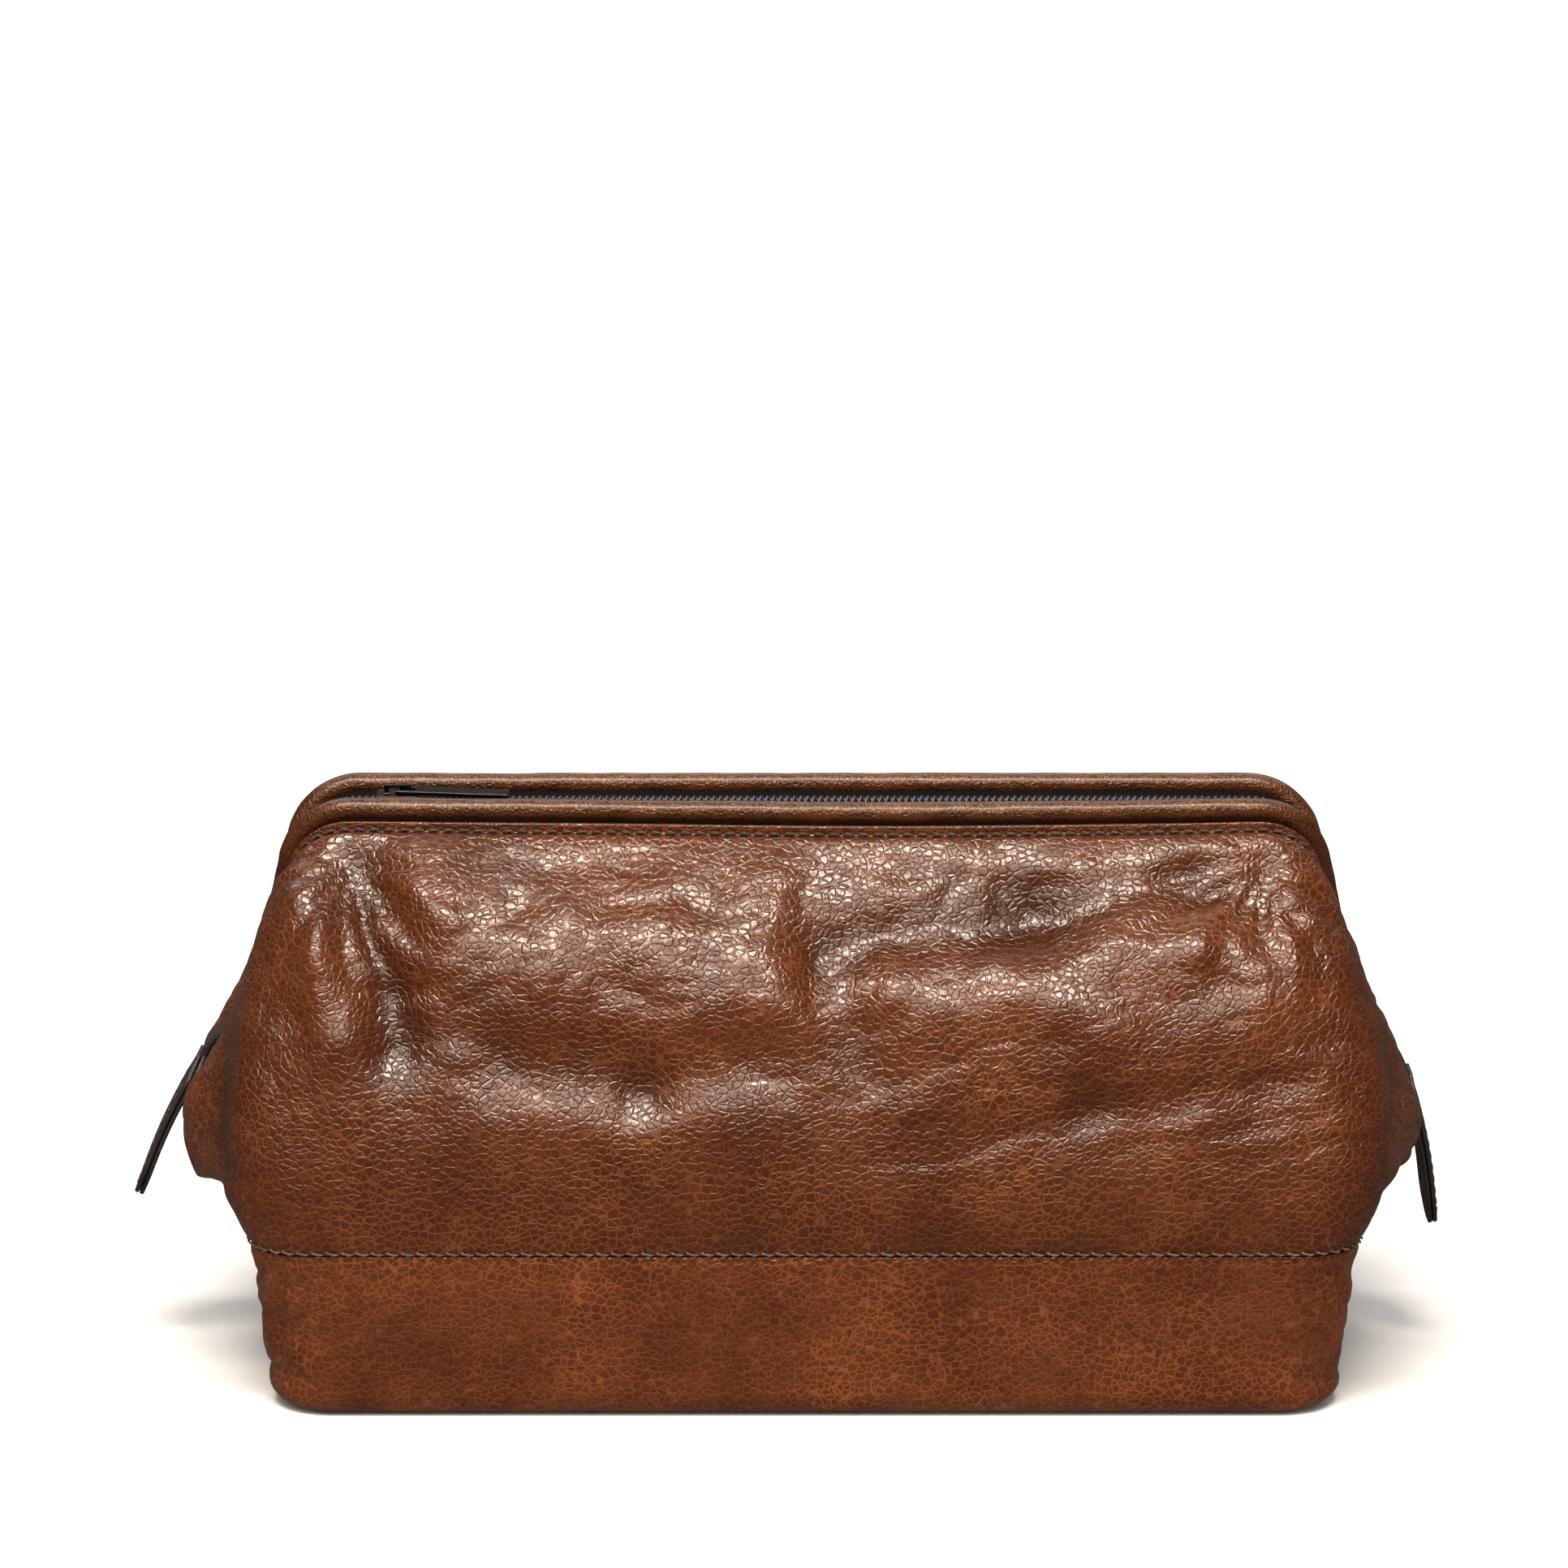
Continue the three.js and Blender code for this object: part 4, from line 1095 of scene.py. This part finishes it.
def tab_half_width(down):
    if down < TAB_NECK:
        return lerp(TAB_NECK_HALF, TAB_HALF_WIDTH, smoothstep(down, 0, TAB_NECK))
    past = max(down - (TAB_LENGTH - TAB_HALF_WIDTH), 0)
    return math.sqrt(max(TAB_HALF_WIDTH**2 - past**2, 0))


def tab_place(hang, out, across, down):
    """A point of a tab: out from its middle, across its width, down its length, slightly bowed."""
    end, fold, lean = hang
    bow = 1.1 * MM * math.sin(math.pi * min(down / TAB_LENGTH, 1))
    bow -= 0.6 * MM * (across / TAB_HALF_WIDTH) ** 2
    out = out + bow * smoothstep(down, 0, 6 * MM)
    x = end * (out * math.cos(lean) + down * math.sin(lean))
    z = -down * math.cos(lean) + out * math.sin(lean)
    return fold + np.array((x, across, z))


def across_strip(count):
    """Places from -1 to 1 across a strip, closer together at its edges."""
    return np.sin(np.linspace(-math.pi / 2, math.pi / 2, count))


def both_faces(rows, columns, point):
    """The front and back grids of a thin sheet, where point(row, column, face) is one point."""
    return [
        np.array([[point(row, column, face) for column in columns] for row in rows])
        for face in (1, -1)
    ]


def tab_ply(hang, centre):
    rows = TAB_LENGTH * np.sin(np.linspace(0, math.pi / 2, 60))
    rows[-1] = TAB_LENGTH - 0.02 * MM

    def point(down, u, face):
        half = tab_half_width(down)
        from_edge = min((1 - abs(u)) * half, TAB_LENGTH - down)
        thickness = TAB_PLY / 2 * float(rounded_edge(from_edge, 0.45 * MM))
        return tab_place(hang, centre + face * thickness, u * half, down)

    return shell(*both_faces(rows, across_strip(25), point), hang[0] > 0)


def tab_stitching(hang, batch):
    """A row of stitches inside the tab's edge on both faces, and wraps over its rounded tip."""
    half = TAB_HALF_WIDTH - TAB_STITCH_INSET
    straight = TAB_LENGTH - TAB_HALF_WIDTH - TAB_NECK
    arc = math.pi * half
    total = 2 * straight + arc
    count = int(total / TAB_STITCH_PITCH)
    for k in range(count):
        places = []
        for step in (-0.4, 0, 0.4):
            run = (k + 0.5 + step) * total / count
            if run < straight:
                places.append((-half, TAB_NECK + run))
            elif run < straight + arc:
                angle = (run - straight) / half
                places.append((-half * math.cos(angle), TAB_NECK + straight + half * math.sin(angle)))
            else:
                places.append((half, TAB_NECK + straight - (run - straight - arc)))
        for face in (1, -1):
            skin = face * (TAB_PLY - TAB_STITCH_SINK)
            a, b, c = (tab_place(hang, skin, *place) for place in places)
            normal = tab_place(hang, skin * 2, *places[1]) - b
            stitch(batch, b, c - a, normal, TAB_STITCH_LENGTH, TAB_STITCH_RADIUS)


for name, hang in TAB_HANGS.items():
    for ply, centre in (("outer", 1), ("inner", -1)):
        middle = centre * (TAB_PLY / 2 + 0.08 * MM)
        piece = new_object(f"{name}_tab_{ply}_ply", *tab_ply(hang, middle), TAB, "tab_leather")
        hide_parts(f"{name}_tab_{ply}")
        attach(piece, f"{name}_tab")
    batch = Batch()
    tab_stitching(hang, batch)
    stitches = new_object(f"{name}_tab_stitches", batch.points, batch.faces, TAB_THREAD, "tab_leather")
    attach(stitches, f"{name}_tab")


STRAP_HALF_WIDTH = 3.1 * MM
STRAP_THICKNESS = 1.7 * MM
STRAP_STEPS = 40
# x from the middle, and z
STRAP_FROM_ZIP = [(121.9 * MM, 77.5 * MM), (125.3 * MM, 71.4 * MM)]
STRAP_JOIN = (125.6 * MM, 70.6 * MM)


def strap_run(end, corners):
    """Points and faces of a flat leather strap through corners given as x from the middle, and z."""
    xs, zs = (np.array(values) for values in zip(*corners))
    run = np.linspace(0, len(corners) - 1, STRAP_STEPS)
    order = range(len(corners))
    line = np.array([(end * np.interp(r, order, xs), 0, np.interp(r, order, zs)) for r in run])
    for _ in range(6):
        line[1:-1] = (line[:-2] + line[1:-1] + line[2:]) / 3
    last = STRAP_STEPS - 1

    def point(k, u, face):
        along = unit(line[min(k + 1, last)] - line[max(k - 1, 0)])
        normal = np.array((-along[2], 0, along[0])) * -end
        from_edge = min((1 - abs(u)) * STRAP_HALF_WIDTH, min(k, last - k) * 0.2 * MM)
        half = STRAP_THICKNESS / 2 * float(rounded_edge(from_edge, 0.5 * MM))
        return line[k] + np.array((0, u * STRAP_HALF_WIDTH, 0)) + normal * face * half

    return shell(*both_faces(range(STRAP_STEPS), across_strip(15), point), end > 0)


def strap(name, hang):
    """The leather strap that leaves the zip, is held at the hinge and bends into the tab."""
    end, fold, _ = hang
    out, height = abs(fold[0]), fold[2]
    pin_low, pin_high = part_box(f"{name}_hinge_pin")
    pin_out = max(abs(pin_low.x), abs(pin_high.x))
    batch = Batch()
    into_tab = [(out - 1.4 * MM, height + 2.2 * MM), (out, height - 1.2 * MM)]
    batch.add(*strap_run(end, STRAP_FROM_ZIP + into_tab))
    from_pin = [(pin_out - 1.2 * MM, HINGE_Z + 1.6 * MM), (pin_out + 0.4 * MM, HINGE_Z + 5 * MM)]
    batch.add(*strap_run(end, from_pin + [STRAP_JOIN]))
    piece = new_object(f"{name}_strap", batch.points, batch.faces, TAB, "tab_leather")
    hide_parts(f"{name}_zip_end")
    tuple(fold)
    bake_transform(piece)


for name, hang in TAB_HANGS.items():
    strap(name, hang)


# ==== Camera and light ====
CAMERA_DISTANCE = 1.3
CAMERA_PITCH = math.radians(12)
CAMERA_SENSOR = 36
CAMERA_LENS = 137.9
AIM = Vector((-0.0044, 0, 0.1247))


def make_camera():
    data = bpy.data.cameras.new("camera")
    data.sensor_width = CAMERA_SENSOR
    data.lens = CAMERA_LENS
    camera = link("camera", data)
    back = Vector((0, -math.cos(CAMERA_PITCH), math.sin(CAMERA_PITCH)))
    camera.location = AIM + back * CAMERA_DISTANCE
    camera.rotation_euler = (math.pi / 2 - CAMERA_PITCH, 0, 0)
    bpy.context.scene.camera = camera


def soft_light(name, location, target, size, power, colour=(1, 1, 1)):
    data = bpy.data.lights.new(name, "AREA")
    data.shape = "RECTANGLE"
    data.size, data.size_y = size
    data.energy = power
    data.color = colour
    light = link(name, data)
    light.location = location
    light.rotation_euler = (Vector(target) - Vector(location)).to_track_quat("-Z", "Y").to_euler()


WARM = (1, 0.915, 0.8)


def make_studio():
    floor = Nodes("studio_floor", on_cad=True)
    shade = floor.noise(floor.grain(3.0), 1.0)
    floor.surface(Base_Color=floor.mix(shade, (0.86, 0.86, 0.86, 1), (0.88, 0.88, 0.88, 1)), Roughness=0.9)
    flat, bend, high, sides = 1.5, 0.5, 2.2, 96
    profile = [(0.02, 0.0), (flat, 0.0)]
    for angle in np.linspace(0, math.pi / 2, 24)[1:]:
        profile.append((flat + bend * math.sin(angle), bend * (1 - math.cos(angle))))
    profile.append((flat + bend, high))
    turns = [2 * math.pi * k / sides for k in range(sides)]
    points = [(r * math.cos(a), r * math.sin(a), z) for r, z in profile for a in turns]
    faces = grid_faces(len(profile), sides, closed=True) + [tuple(range(sides))]
    mesh = bpy.data.meshes.new("studio_floor")
    mesh.from_pydata(points, [], faces)
    mesh.shade_smooth()
    mesh.materials.append(floor.material)
    backdrop = link("studio_floor", mesh)
    backdrop.visible_glossy = False

    world = bpy.data.worlds.new("studio")
    world.use_nodes = True
    background = world.node_tree.nodes["Background"]
    background.inputs["Color"].default_value = (1, 0.9, 0.8, 1)
    background.inputs["Strength"].default_value = 0.1
    bpy.context.scene.world = world
    bpy.context.scene.view_settings.view_transform = "Standard"
    soft_light("softbox", (-0.1, -0.62, 1.0), (0, 0, 0.06), (1.0, 0.66), 8.4, WARM)
    soft_light("strip", (-0.05, -0.42, 1.05), (0, 0, 0.08), (0.8, 0.12), 16.5, WARM)
    soft_light("backdrop_light", (0, 1.15, 1.3), (0, 1.25, 0), (2.4, 0.7), 20)


make_camera()
make_studio()
